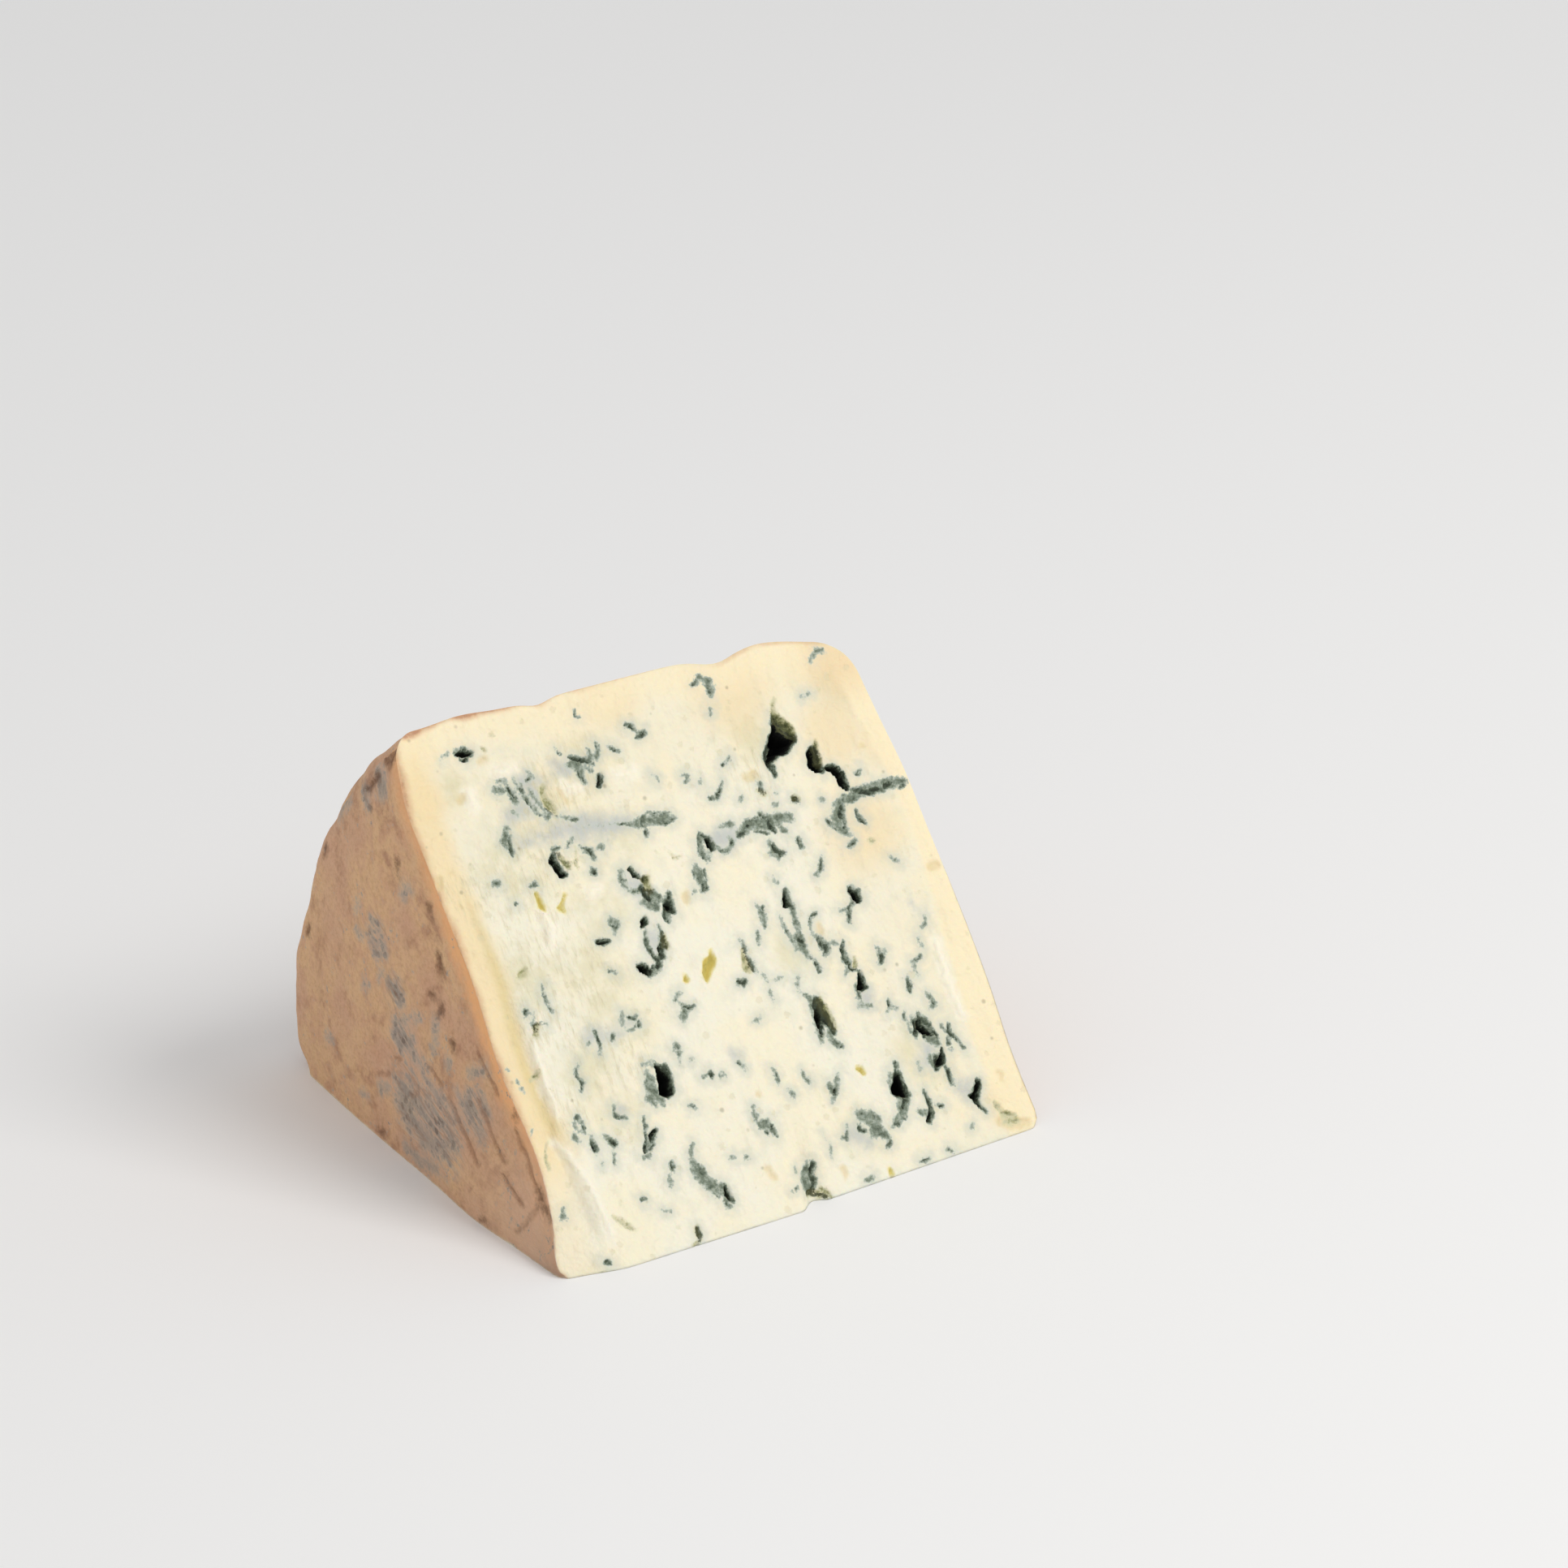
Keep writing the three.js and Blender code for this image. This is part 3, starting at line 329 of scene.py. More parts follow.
GREY = (
    ((-30.4, 87.6, 0.3), (-29.2, 87.8, 0.35)),
    ((-27.4, 87.4, 0.25), (-26.6, 85.2, 0.4), (-25.6, 83.2, 0.4)),
    ((-25.0, 85.2, 0.3), (-24.6, 83.4, 0.45), (-23.8, 81.6, 0.4), (-22.8, 80.2, 0.3)),
    ((-24.0, 88.0, 0.2), (-23.4, 86.6, 0.25)),
    ((-29.8, 82.0, 0.35), (-28.8, 80.8, 0.3)),
    ((32.6, 66.8, 0.6), (35.5, 67.2, 0.9), (39.5, 67.7, 1.1), (44.5, 67.9, 1.1), (48.0, 67.6, 0.9)),
    ((33.6, 66.0, 1.1), (32.4, 64.4, 1.3), (32.4, 62.4, 1.1), (33.4, 60.9, 0.5)),
    ((30.4, 64.8, 0.6), (31.0, 63.0, 0.6)),
    ((33.0, 59.3, 0.7), (33.8, 59.5, 0.5)),
    ((36.8, 63.0, 0.7), (37.0, 62.6, 0.7)),
    ((8.8, 68.6, 0.4), (11.2, 68.8, 0.7)),
    ((12.2, 66.6, 0.8), (15.0, 67.6, 1.2), (18.5, 67.4, 1.7), (21.5, 67.2, 1.2), (23.0, 67.0, 1.0)),
    ((20.6, 65.4, 0.4), (21.4, 64.6, 0.5)),
    ((17.6, 63.8, 0.6), (17.8, 62.0, 0.9), (18.2, 60.9, 0.6)),
    ((23.4, 62.8, 0.6), (23.4, 61.6, 0.7)),
    ((4.8, 68.6, 0.5), (3.7, 67.0, 0.7), (3.5, 65.2, 0.6), (4.2, 64.0, 0.6), (5.0, 64.1, 0.4)),
    ((5.8, 67.4, 0.8), (5.9, 65.8, 0.9)),
    ((6.8, 65.4, 0.4), (7.6, 64.4, 0.4), (9.0, 64.4, 0.5), (10.2, 65.4, 0.5), (10.0, 66.6, 0.4)),
    ((1.4, 63.4, 0.5), (1.6, 61.8, 1.1), (1.8, 60.0, 1.0), (1.7, 58.9, 0.8)),
    ((-0.5, 59.0, 0.4), (-0.2, 59.0, 0.3)),
    ((-8.2, 74.0, 0.5), (-6.0, 73.6, 1.1), (-3.0, 73.4, 1.2), (-0.5, 73.0, 1.0), (0.6, 72.8, 0.6)),
    ((-5.5, 71.4, 0.6), (-5.8, 71.1, 0.5)),
    ((-31.2, 86.2, 0.8), (-29.4, 86.2, 0.6), (-28.4, 84.6, 0.9), (-28.2, 83.2, 0.7)),
    ((-26.4, 86.0, 0.5), (-26.2, 84.0, 0.5), (-25.4, 81.6, 0.5), (-24.8, 80.0, 0.5), (-23.6, 79.2, 0.6),
     (-22.4, 79.5, 0.35)),
    ((-25.2, 86.6, 0.4), (-24.4, 86.6, 0.4)),
    ((-21.8, 78.6, 0.3), (-20.0, 78.2, 0.3), (-18.6, 77.5, 0.5), (-17.6, 77.2, 0.4)),
    ((-18.6, 75.8, -0.1), (-14.0, 75.1, 0.1), (-9.6, 74.5, 0.2)),
    ((-31.8, 79.0, 0.5), (-32.2, 77.8, 0.9), (-33.2, 76.6, 0.8), (-32.6, 75.2, 0.6)),
    ((-24.7, 73.2, 0.35), (-23.3, 73.2, 0.35)),
    ((-22.0, 72.9, 0.4), (-21.0, 73.6, 0.4), (-20.3, 74.0, 0.3)),
    ((-19.0, 72.3, 0.45), (-17.8, 71.0, 0.85), (-17.4, 70.0, 0.7)),
    ((-15.7, 71.3, 0.7), (-15.3, 71.1, 0.6)),
    ((-18.6, 67.3, 0.7), (-18.3, 67.2, 0.6)),
    ((-37.8, 70.2, 0.7), (-37.0, 70.0, 0.6)),
    ((-31.4, 68.1, 0.5), (-30.7, 68.2, 0.6)),
    ((-38.0, 94.8, 0.3), (-39.6, 94.4, 0.25), (-39.8, 94.0, 0.25)),
    ((-36.2, 94.8, 0.7), (-34.4, 94.2, 0.9)),
    ((-16.0, 86.8, 0.6), (-14.8, 86.9, 1.1), (-14.0, 85.6, 1.0), (-14.2, 84.6, 0.7), (-14.0, 83.4, 0.5)),
    ((-11.8, 84.8, 0.35), (-12.8, 85.8, 0.5)),
    ((-11.2, 88.8, 0.3), (-10.6, 87.6, 0.45)),
    ((-14.0, 87.6, 0.8), (-11.6, 86.6, 0.9)),
    ((-9.6, 89.8, 0.3), (-9.0, 88.3, 0.5), (-9.8, 86.8, 0.6)),
    ((-6.6, 87.8, 0.5), (-5.5, 87.1, 0.5)),
    ((-10.8, 83.2, 0.6), (-11.3, 82.4, 0.6)),
    ((-2.2, 90.8, 0.6), (-1.2, 90.3, 0.6), (-0.6, 89.6, 0.3), (0.0, 88.7, 0.7), (0.7, 89.0, 0.6)),
    ((13.2, 94.8, 0.4), (14.4, 95.2, 0.55), (15.2, 96.0, 0.5), (16.4, 95.0, 0.8), (16.4, 93.2, 0.7),
     (16.2, 92.2, 0.7)),
    ((15.0, 89.5, 0.4), (14.8, 89.0, 0.35)),
    ((38.4, 93.4, 0.3), (39.6, 94.2, 0.35), (40.2, 95.2, 0.4)),
    ((40.4, 94.8, 0.4), (41.4, 94.5, 0.4)),
    ((-0.9, 81.2, 0.35), (-0.7, 81.0, 0.3)),
    ((0.2, 80.3, 0.3), (0.1, 80.1, 0.3)),
    ((5.4, 79.5, 0.45), (6.2, 79.4, 0.35), (5.6, 78.2, 0.45)),
    ((7.9, 77.4, 0.45), (8.3, 77.6, 0.35)),
    ((14.0, 79.4, 0.5), (13.8, 79.3, 0.4)),
    ((15.2, 79.9, 0.5), (15.6, 80.3, 0.4)),
    ((9.0, 74.4, 0.5), (10.6, 74.4, 0.7), (11.6, 75.2, 0.4), (12.4, 76.2, 0.3)),
    ((19.6, 74.2, 0.5), (19.6, 73.0, 0.5)),
    ((15.2, 73.0, 0.35), (14.8, 72.3, 0.35)),
    ((25.4, 69.9, 0.8), (26.0, 69.6, 0.6)),
    ((22.1, 72.0, 0.35), (22.3, 71.9, 0.3)),
    ((20.9, 69.9, 0.4), (21.7, 69.8, 0.35)),
    ((30.7, 68.4, 0.5), (30.9, 68.3, 0.4)),
    ((39.3, 71.2, 0.5), (40.3, 71.8, 0.35)),
    ((34.0, 87.6, 0.3), (35.8, 87.5, 0.3)),
    ((-18.6, 58.4, 0.6), (-17.5, 57.4, 0.7), (-18.4, 56.6, 0.6), (-19.0, 55.6, 0.3)),
    ((-22.0, 49.7, 0.35), (-21.3, 49.1, 0.35)),
    ((-16.0, 48.8, 0.9), (-14.4, 47.2, 0.9)),
    ((-13.4, 66.2, 0.5), (-13.8, 64.2, 0.6), (-13.2, 62.9, 0.5), (-12.4, 62.1, 0.4), (-11.4, 61.8, 0.35)),
    ((-11.0, 59.6, 0.7), (-9.0, 58.4, 1.0), (-8.0, 59.8, 0.9), (-9.6, 61.0, 1.1)),
    ((-6.2, 58.6, 1.1), (-6.8, 56.8, 1.1), (-7.2, 55.8, 0.7)),
    ((-12.3, 56.4, 0.8), (-12.6, 56.1, 0.7)),
    ((-12.8, 54.4, 0.4), (-13.2, 52.0, 0.5), (-12.6, 50.0, 0.7), (-12.4, 48.6, 0.9), (-13.4, 47.6, 0.6)),
    ((-9.8, 54.6, 0.3), (-9.7, 53.2, 0.4), (-10.4, 51.0, 0.9), (-11.2, 49.6, 0.8)),
    ((-39.6, 46.2, 0.2), (-40.2, 44.6, 0.3), (-39.8, 43.4, 0.3)),
    ((-38.6, 44.4, 0.2), (-37.4, 43.6, 0.2)),
    ((-40.6, 47.1, 0.4), (-40.8, 46.6, 0.4)),
    ((-35.6, 50.6, 0.25), (-36.1, 48.8, 0.45), (-36.0, 47.2, 0.4), (-35.7, 45.8, 0.25)),
    ((-22.6, 42.0, 0.4), (-23.4, 40.4, 0.35), (-23.0, 38.8, 0.35), (-21.8, 38.6, 0.3), (-20.6, 39.4, 0.3)),
    ((-21.5, 41.0, 0.4), (-20.5, 40.4, 0.55)),
    ((-19.7, 39.3, 0.5), (-20.0, 38.8, 0.4)),
    ((-29.3, 40.4, 0.3), (-29.1, 38.6, 0.45), (-28.8, 37.4, 0.4), (-29.4, 36.0, 0.25)),
    ((-31.4, 38.2, 0.35), (-30.6, 38.6, 0.3)),
    ((-25.6, 38.9, 0.35), (-26.1, 37.9, 0.4)),
    ((-34.1, 35.8, 0.2), (-35.3, 34.6, 0.35), (-35.5, 33.4, 0.35), (-34.8, 32.2, 0.5), (-35.3, 30.8, 0.3)),
    ((-14.8, 33.5, 0.6), (-14.4, 33.0, 0.55), (-14.7, 31.6, 0.4), (-14.9, 30.6, 0.35)),
    ((-12.9, 30.2, 0.4), (-12.6, 30.1, 0.35)),
    ((-10.4, 42.6, 0.3), (-11.4, 41.4, 0.4), (-11.8, 41.0, 0.35)),
    ((-10.8, 40.4, 0.3), (-10.0, 39.4, 0.75), (-11.2, 38.2, 0.7), (-11.4, 37.5, 0.4)),
    ((-9.6, 39.3, 0.7), (-8.4, 39.3, 0.4)),
    ((5.2, 48.1, 0.4), (5.6, 46.4, 0.4), (5.7, 45.4, 0.3), (5.9, 43.6, 0.45), (5.7, 42.3, 0.4)),
    ((6.2, 42.0, 0.2), (7.2, 41.0, 0.25), (7.6, 39.8, 0.2)),
    ((7.2, 38.0, 0.2), (7.4, 36.2, 0.25)),
    ((2.1, 41.1, 0.7), (2.8, 40.8, 0.8)),
    ((9.0, 39.7, 0.2), (10.4, 39.5, 0.2)),
    ((2.4, 33.8, 0.4), (3.4, 34.2, 0.45)),
    ((10.8, 53.2, 0.45), (11.2, 52.0, 0.8), (11.1, 50.4, 0.7), (10.9, 49.4, 0.5)),
    ((9.0, 48.8, 0.3), (8.7, 47.6, 0.5), (8.8, 47.0, 0.45)),
    ((16.2, 57.6, 0.3), (16.0, 56.6, 0.35)),
    ((17.3, 54.2, 0.7), (16.8, 52.4, 1.0)),
    ((17.4, 51.2, 0.8), (17.3, 49.0, 0.45), (17.0, 47.0, 0.7), (16.5, 45.2, 1.1), (16.8, 43.6, 0.8),
     (17.0, 42.1, 0.5), (18.0, 41.3, 0.3)),
    ((14.6, 50.2, 0.25), (14.6, 48.6, 0.2), (14.8, 47.0, 0.5), (15.3, 45.2, 0.5), (15.4, 43.6, 0.4)),
    ((18.1, 40.5, 0.3), (18.4, 39.2, 0.5)),
    ((21.5, 49.0, 0.4), (20.2, 48.6, 0.5), (19.6, 46.8, 0.35), (19.6, 45.2, 0.4)),
    ((20.3, 44.8, 0.7), (20.7, 43.4, 0.85), (21.0, 42.2, 0.8), (20.4, 41.5, 0.5)),
    ((24.2, 41.4, 0.7), (24.0, 39.8, 0.6), (24.4, 38.0, 0.7)),
    ((23.9, 37.6, 0.6), (23.2, 37.2, 0.5)),
    ((22.5, 43.4, 0.35), (23.6, 42.8, 0.35)),
    ((24.4, 34.4, 0.5), (24.0, 32.8, 0.5), (23.7, 31.2, 0.45), (24.6, 30.4, 0.35), (25.8, 30.4, 0.4)),
    ((14.6, 34.2, 0.8), (14.0, 32.0, 0.5), (13.6, 28.4, 0.5), (13.6, 27.0, 0.45)),
    ((15.8, 27.6, 0.9), (16.0, 26.2, 0.9), (16.6, 25.2, 0.7)),
    ((13.8, 39.2, 0.3), (13.0, 38.0, 0.25), (12.8, 36.6, 0.25), (13.6, 35.6, 0.3), (14.2, 34.8, 0.4)),
    ((30.4, 51.0, 1.2), (30.8, 49.8, 1.1)),
    ((29.6, 48.8, 0.45), (28.2, 48.4, 0.4), (27.6, 47.2, 0.35), (27.4, 46.0, 0.35), (27.9, 45.6, 0.3)),
    ((28.0, 48.4, 0.3), (26.5, 48.2, 0.4)),
    ((26.4, 58.3, 0.35), (25.9, 57.0, 0.55), (25.6, 56.0, 0.45), (24.5, 55.4, 0.3)),
    ((39.8, 55.0, 0.35), (40.8, 54.2, 0.45), (41.4, 53.8, 0.35)),
    ((42.7, 42.8, 0.2), (42.3, 41.7, 0.45), (41.4, 41.2, 0.35)),
    ((30.9, 40.0, 0.4), (31.2, 38.6, 0.55), (30.8, 37.5, 0.6), (30.2, 37.2, 0.4)),
    ((32.4, 39.2, 0.3), (31.8, 38.2, 0.4)),
    ((39.6, 39.4, 0.3), (39.8, 38.2, 0.3), (39.9, 37.4, 0.25)),
    ((38.8, 36.2, 0.45), (37.4, 35.7, 0.4), (37.2, 34.4, 0.35), (37.0, 33.0, 0.25)),
    ((34.8, 33.2, 0.45), (34.6, 31.2, 0.55)),
    ((37.6, 29.6, 0.3), (38.0, 28.2, 0.55), (38.2, 27.2, 0.55), (37.2, 26.8, 0.35)),
    ((29.4, 30.2, 0.4), (29.2, 29.2, 0.6), (28.4, 28.6, 0.3)),
    ((29.4, 29.0, 0.5), (30.4, 28.5, 0.3)),
    ((31.8, 27.6, 0.3), (31.4, 26.4, 0.4), (31.6, 25.0, 0.4), (31.6, 23.8, 0.5), (32.4, 22.9, 0.5)),
    ((32.8, 25.8, 0.6), (34.2, 24.4, 1.5), (34.8, 22.8, 1.3)),
    ((34.4, 21.4, 0.7), (35.6, 20.8, 0.9), (36.6, 20.2, 0.4)),
    ((33.7, 18.2, 0.6), (33.8, 16.6, 0.8), (35.4, 17.2, 1.1)),
    ((36.2, 15.2, 0.5), (36.5, 14.0, 0.65), (36.3, 12.4, 0.6)),
    ((38.0, 23.4, 0.25), (38.4, 21.8, 0.35), (39.2, 21.6, 0.7)),
    ((38.4, 18.6, 0.35), (38.6, 18.4, 0.3)),
    ((24.6, 17.6, 0.5), (23.8, 16.2, 0.5), (24.4, 14.6, 1.0)),
    ((25.6, 12.6, 1.2), (24.6, 11.0, 1.1), (23.6, 9.8, 0.8), (22.4, 8.8, 0.6), (21.4, 8.3, 0.3)),
    ((31.0, 18.0, 0.25), (30.8, 16.6, 0.3)),
    ((27.6, 9.4, 0.6), (28.8, 9.2, 0.8), (29.4, 8.2, 0.9)),
    ((31.4, 9.8, 0.35), (32.6, 9.3, 0.45)),
    ((41.6, 11.4, 0.7), (39.8, 8.8, 1.1), (40.8, 6.2, 0.5)),
    ((37.4, 4.6, 0.2), (37.1, 4.0, 0.35)),
    ((30.9, 1.1, 0.55), (31.3, 1.0, 0.45)),
    ((24.4, 1.1, 0.45), (26.4, 0.9, 0.35)),
    ((12.4, 1.2, 0.5), (13.8, 1.3, 0.45)),
    ((11.6, 18.8, 0.7), (12.2, 17.6, 0.9), (13.6, 19.2, 0.4), (14.2, 20.2, 0.25)),
    ((11.6, 16.2, 0.35), (11.8, 16.6, 0.5)),
    ((2.2, 24.4, 0.45), (2.5, 23.2, 0.6), (2.3, 22.0, 0.5)),
    ((7.8, 22.8, 0.25), (8.1, 21.6, 0.45), (8.4, 20.7, 0.55)),
    ((4.0, 19.9, 0.35), (4.2, 19.2, 0.45)),
    ((-4.3, 19.6, 0.45), (-4.4, 18.0, 0.45), (-4.6, 16.6, 0.4)),
    ((-4.0, 16.0, 1.1), (-2.6, 15.8, 1.0), (-2.0, 14.6, 0.9), (-1.6, 13.3, 0.45)),
    ((-11.4, 26.9, 0.4), (-10.0, 27.0, 0.5)),
    ((-8.2, 26.2, 0.4), (-7.4, 26.2, 0.25)),
    ((-3.9, 27.6, 0.5), (-2.9, 26.4, 0.5)),
    ((-12.2, 12.2, 0.35), (-11.4, 12.4, 0.25)),
    ((-9.4, 11.6, 0.25), (-8.6, 11.4, 0.25)),
    ((-18.2, 16.4, 0.35), (-19.4, 14.6, 0.45), (-19.6, 12.6, 1.1), (-18.8, 10.8, 1.3), (-18.0, 9.0, 1.3),
     (-17.4, 7.6, 1.0)),
    ((-16.4, 8.6, 0.9), (-15.8, 6.6, 0.9), (-16.4, 5.0, 0.5)),
    ((-28.2, 17.0, 0.5), (-27.2, 16.8, 0.6)),
    ((-24.8, 20.0, 0.7), (-26.6, 18.4, 0.8)),
    ((-23.8, 14.0, 0.65), (-23.6, 13.4, 0.6)),
    ((-24.8, 12.4, 0.35), (-25.2, 11.4, 0.45)),
    ((-38.3, 26.5, 0.5), (-37.6, 25.4, 0.35), (-38.0, 24.0, 0.45), (-38.9, 24.6, 0.35), (-38.9, 26.0, 0.35)),
    ((-39.8, 23.4, 0.7), (-39.4, 22.6, 0.5)),
    ((-36.8, 22.8, 0.4), (-37.0, 21.2, 0.7), (-36.5, 20.1, 0.6)),
    ((-33.8, 21.6, 0.6), (-33.2, 20.6, 0.9)),
    ((-33.7, 18.9, 0.3), (-34.1, 17.4, 0.3)),
    ((-36.6, 18.0, 0.3), (-36.4, 18.1, 0.3)),
    ((-30.4, 27.0, 0.25), (-30.7, 25.8, 0.3), (-30.5, 24.8, 0.45), (-29.6, 24.2, 0.3), (-28.8, 24.1, 0.25)),
    ((-21.8, 30.6, 0.45), (-21.8, 29.0, 1.0), (-22.2, 27.4, 1.2), (-21.8, 26.0, 1.1), (-20.8, 25.2, 0.8)),
    ((-23.3, 26.0, 0.9), (-22.6, 24.9, 0.5)),
    ((-22.0, 32.2, 0.3), (-20.8, 32.2, 0.35), (-20.0, 31.6, 0.4)),
    ((-15.8, 22.8, 0.35), (-15.4, 22.2, 0.35)),
    ((-46.3, 12.4, 0.3), (-46.5, 11.6, 0.6), (-46.9, 10.9, 0.7), (-47.5, 10.6, 0.35)),
    ((-47.8, 38.0, 0.2), (-47.2, 38.4, 0.25)),
    ((-46.4, 35.8, 0.2), (-46.2, 35.4, 0.2)),
    ((-46.2, 34.0, 0.3), (-45.9, 33.7, 0.2)),
    ((-47.2, 26.8, 0.15), (-47.6, 25.8, 0.15)),
    ((-28.8, 7.9, 0.25), (-28.2, 7.4, 0.3), (-27.4, 7.1, 0.15)),
    ((2.2, 7.2, 0.35), (2.0, 5.6, 1.0), (1.0, 4.2, 1.3), (0.8, 2.4, 1.1)),
    ((-0.8, 6.7, 0.35), (-0.7, 6.4, 0.3)),
    ((-3.4, 4.2, 0.12), (-2.0, 4.2, 0.4)),
    ((15.6, 12.6, 0.8), (17.4, 11.2, 1.4), (18.8, 10.4, 0.9), (17.6, 9.0, 1.4), (18.6, 7.8, 1.1),
     (19.4, 6.9, 0.5)),
    ((14.6, 10.0, 0.6), (15.6, 9.4, 0.5)),
    ((19.2, 5.5, 0.5), (19.8, 5.9, 0.35)),
    ((12.6, 11.2, 0.3), (12.1, 10.2, 0.5), (11.3, 9.2, 0.5), (10.4, 9.6, 0.25)),
    ((7.2, 11.2, 0.0), (7.4, 9.6, 0.1), (7.6, 8.8, 0.2), (7.3, 7.2, 0.3)),
)
# Olive marks, many of them walls of holes: olive in hue, with painted light and shade, darker in from the
# edge and near black holes.
OLIVE = (
    ((-2.3, 67.2, 0), (-2.0, 65.8, 0.2), (-0.6, 65.5, 0.1)),
    ((28.3, 88.2, 0.35), (27.2, 87.2, 0.4), (27.2, 85.4, 0.7), (27.8, 83.8, 1.1), (28.6, 82.2, 1.3),
     (29.2, 80.6, 0.8)),
    ((33.5, 78.9, 0.35), (32.9, 77.4, 0.65), (32.6, 75.8, 0.8), (32.8, 74.4, 0.5)),
    ((-22.4, 84.4, 0.45), (-22.6, 82.6, 0.65), (-22.0, 80.6, 0.75), (-21.6, 79.2, 0.3)),
    ((-24.0, 72.4, 0.1), (-23.6, 71.0, 0.4), (-22.8, 69.6, 0.5)),
    ((-20.2, 72.6, 0), (-20.8, 70.8, 0.1), (-21.5, 69.6, 0.3), (-21.2, 68.6, 0)),
    ((-8.4, 63.8, 0.3), (-9.2, 63.4, 0.8), (-9.0, 61.6, 0.7)),
    ((-9.4, 53.0, 0.4), (-9.6, 51.0, 0.5)),
    ((-38.0, 54.2, 0.35), (-38.8, 53.4, 0.65), (-39.6, 52.8, 0.35)),
    ((-39.3, 44.2, 0.55), (-40.0, 43.4, 0.65), (-40.6, 42.7, 0.55)),
    ((-43.8, 35.4, 0.25), (-43.0, 35.8, 0.4), (-42.4, 36.4, 0.25)),
    ((25.8, 39.4, 0.3), (25.6, 38.2, 0.5)),
    ((16.2, 33.8, 0.5), (16.8, 31.8, 0.65), (17.1, 29.6, 0.5), (17.2, 28.2, 0.35)),
    ((-31.3, 93.9, 0.25), (-30.8, 93.7, 0.3)),
    ((-28.7, 95.9, 0.25), (-28.2, 95.8, 0.25)),
    ((25.4, 70.2, 0.6), (26.2, 69.8, 0.5)),
    ((37.3, 58.8, 0.35), (37.8, 58.4, 0.35)),
    ((4.6, 43.2, 0.9), (5.0, 46.4, 0.4)),
    ((43.4, 6.8, 0.3), (43.8, 5.8, 0.6), (44.2, 4.8, 0.5), (44.8, 3.9, 0.9), (45.8, 3.2, 0.9)),
    ((44.2, 2.6, 0.4), (45.4, 2.2, 0.7), (46.8, 1.8, 0.6)),
    ((-45.4, 23.2, 0.1), (-46.2, 21.4, 0.35), (-46.3, 19.6, 0.35)),
    ((-44.4, 24.2, 0.05), (-45.2, 23.2, 0.15)),
    ((-38.2, 9.2, 0.2), (-37.4, 8.2, 0.4), (-36.8, 7.2, 0.4), (-35.8, 6.2, 0.3), (-35.4, 5.9, 0.25)),
    ((-24.0, 2.7, 0.45), (-24.2, 0.8, 0.25), (-25.6, 0.1, 0.3)),
    ((0.2, 1.7, 0.5), (1.6, 1.4, 0.6), (3.0, 1.0, 0.6), (4.0, 0.9, 0.5), (4.8, 0.3, 0.2)),
    ((3.0, 2.2, 0.3), (3.6, 1.4, 0.5)),
    ((19.2, 73.2, 0.5), (19.8, 72.4, 0.4)),
)
YELLOW = (
    ((-31.0, 66.6, 0.3), (-30.8, 65.4, 0.65), (-30.8, 64.2, 0.6), (-30.6, 63.4, 0.3)),
    ((-25.7, 64.9, 0.3), (-26.4, 63.8, 0.35), (-27.2, 62.7, 0.55), (-27.0, 62.2, 0.3)),
    ((-1.4, 48.0, 0.4), (-1.6, 46.6, 0.9), (-2.6, 45.6, 1.1), (-3.8, 44.6, 0.85), (-4.2, 43.4, 0.45)),
    ((-7.9, 45.0, 0.5), (-7.9, 44.3, 0.7)),
    ((18.6, 20.4, 0.4), (19.2, 19.9, 0.6), (19.6, 19.0, 0.35)),
    ((17.6, 1.5, 0.3), (17.9, 0.7, 0.5)),
)
TAN = (
    ((-32.2, 91.8, 0.6), (-31.2, 92.4, 0.5)),
    ((-38.8, 86.2, 0.7), (-37.8, 86.8, 0.4)),
    ((-2.5, 58.8, 0.9), (-2.5, 58.0, 0.8)),
    ((17.4, 76.2, 0.8), (19.0, 76.2, 1.1)),
    ((42.0, 75.9, 0.5), (42.4, 75.8, 0.4)),
    ((-45.3, 74.2, 0.3), (-45.0, 74.2, 0.3)),
    ((-45.6, 68.2, 0.35), (-45.2, 67.8, 0.3)),
    ((-19.6, 83.4, 0.3), (-18.9, 80.8, 0.45)),
    ((43.4, 3.4, 1.0), (45.0, 2.2, 1.2), (46.8, 1.6, 1.2), (48.6, 1.4, 0.7)),
    ((46.4, 12.0, 0.3), (47.0, 11.2, 0.45), (46.6, 10.3, 0.3)),
    ((-6.2, 8.9, 0.5), (-5.7, 7.1, 0.5)),
    ((8.4, 4.4, 0.6), (8.6, 2.9, 0.6)),
    ((47.4, 51.2, 0.9), (48.6, 51.0, 0.8)),
    ((-2.2, 21.4, 0.5), (-2.0, 21.0, 0.4)),
    ((-47.8, 73.5, 0.9), (-48.4, 72.4, 0.8)),
    ((21.4, 47.0, 0.6), (21.2, 45.6, 0.6)),
)
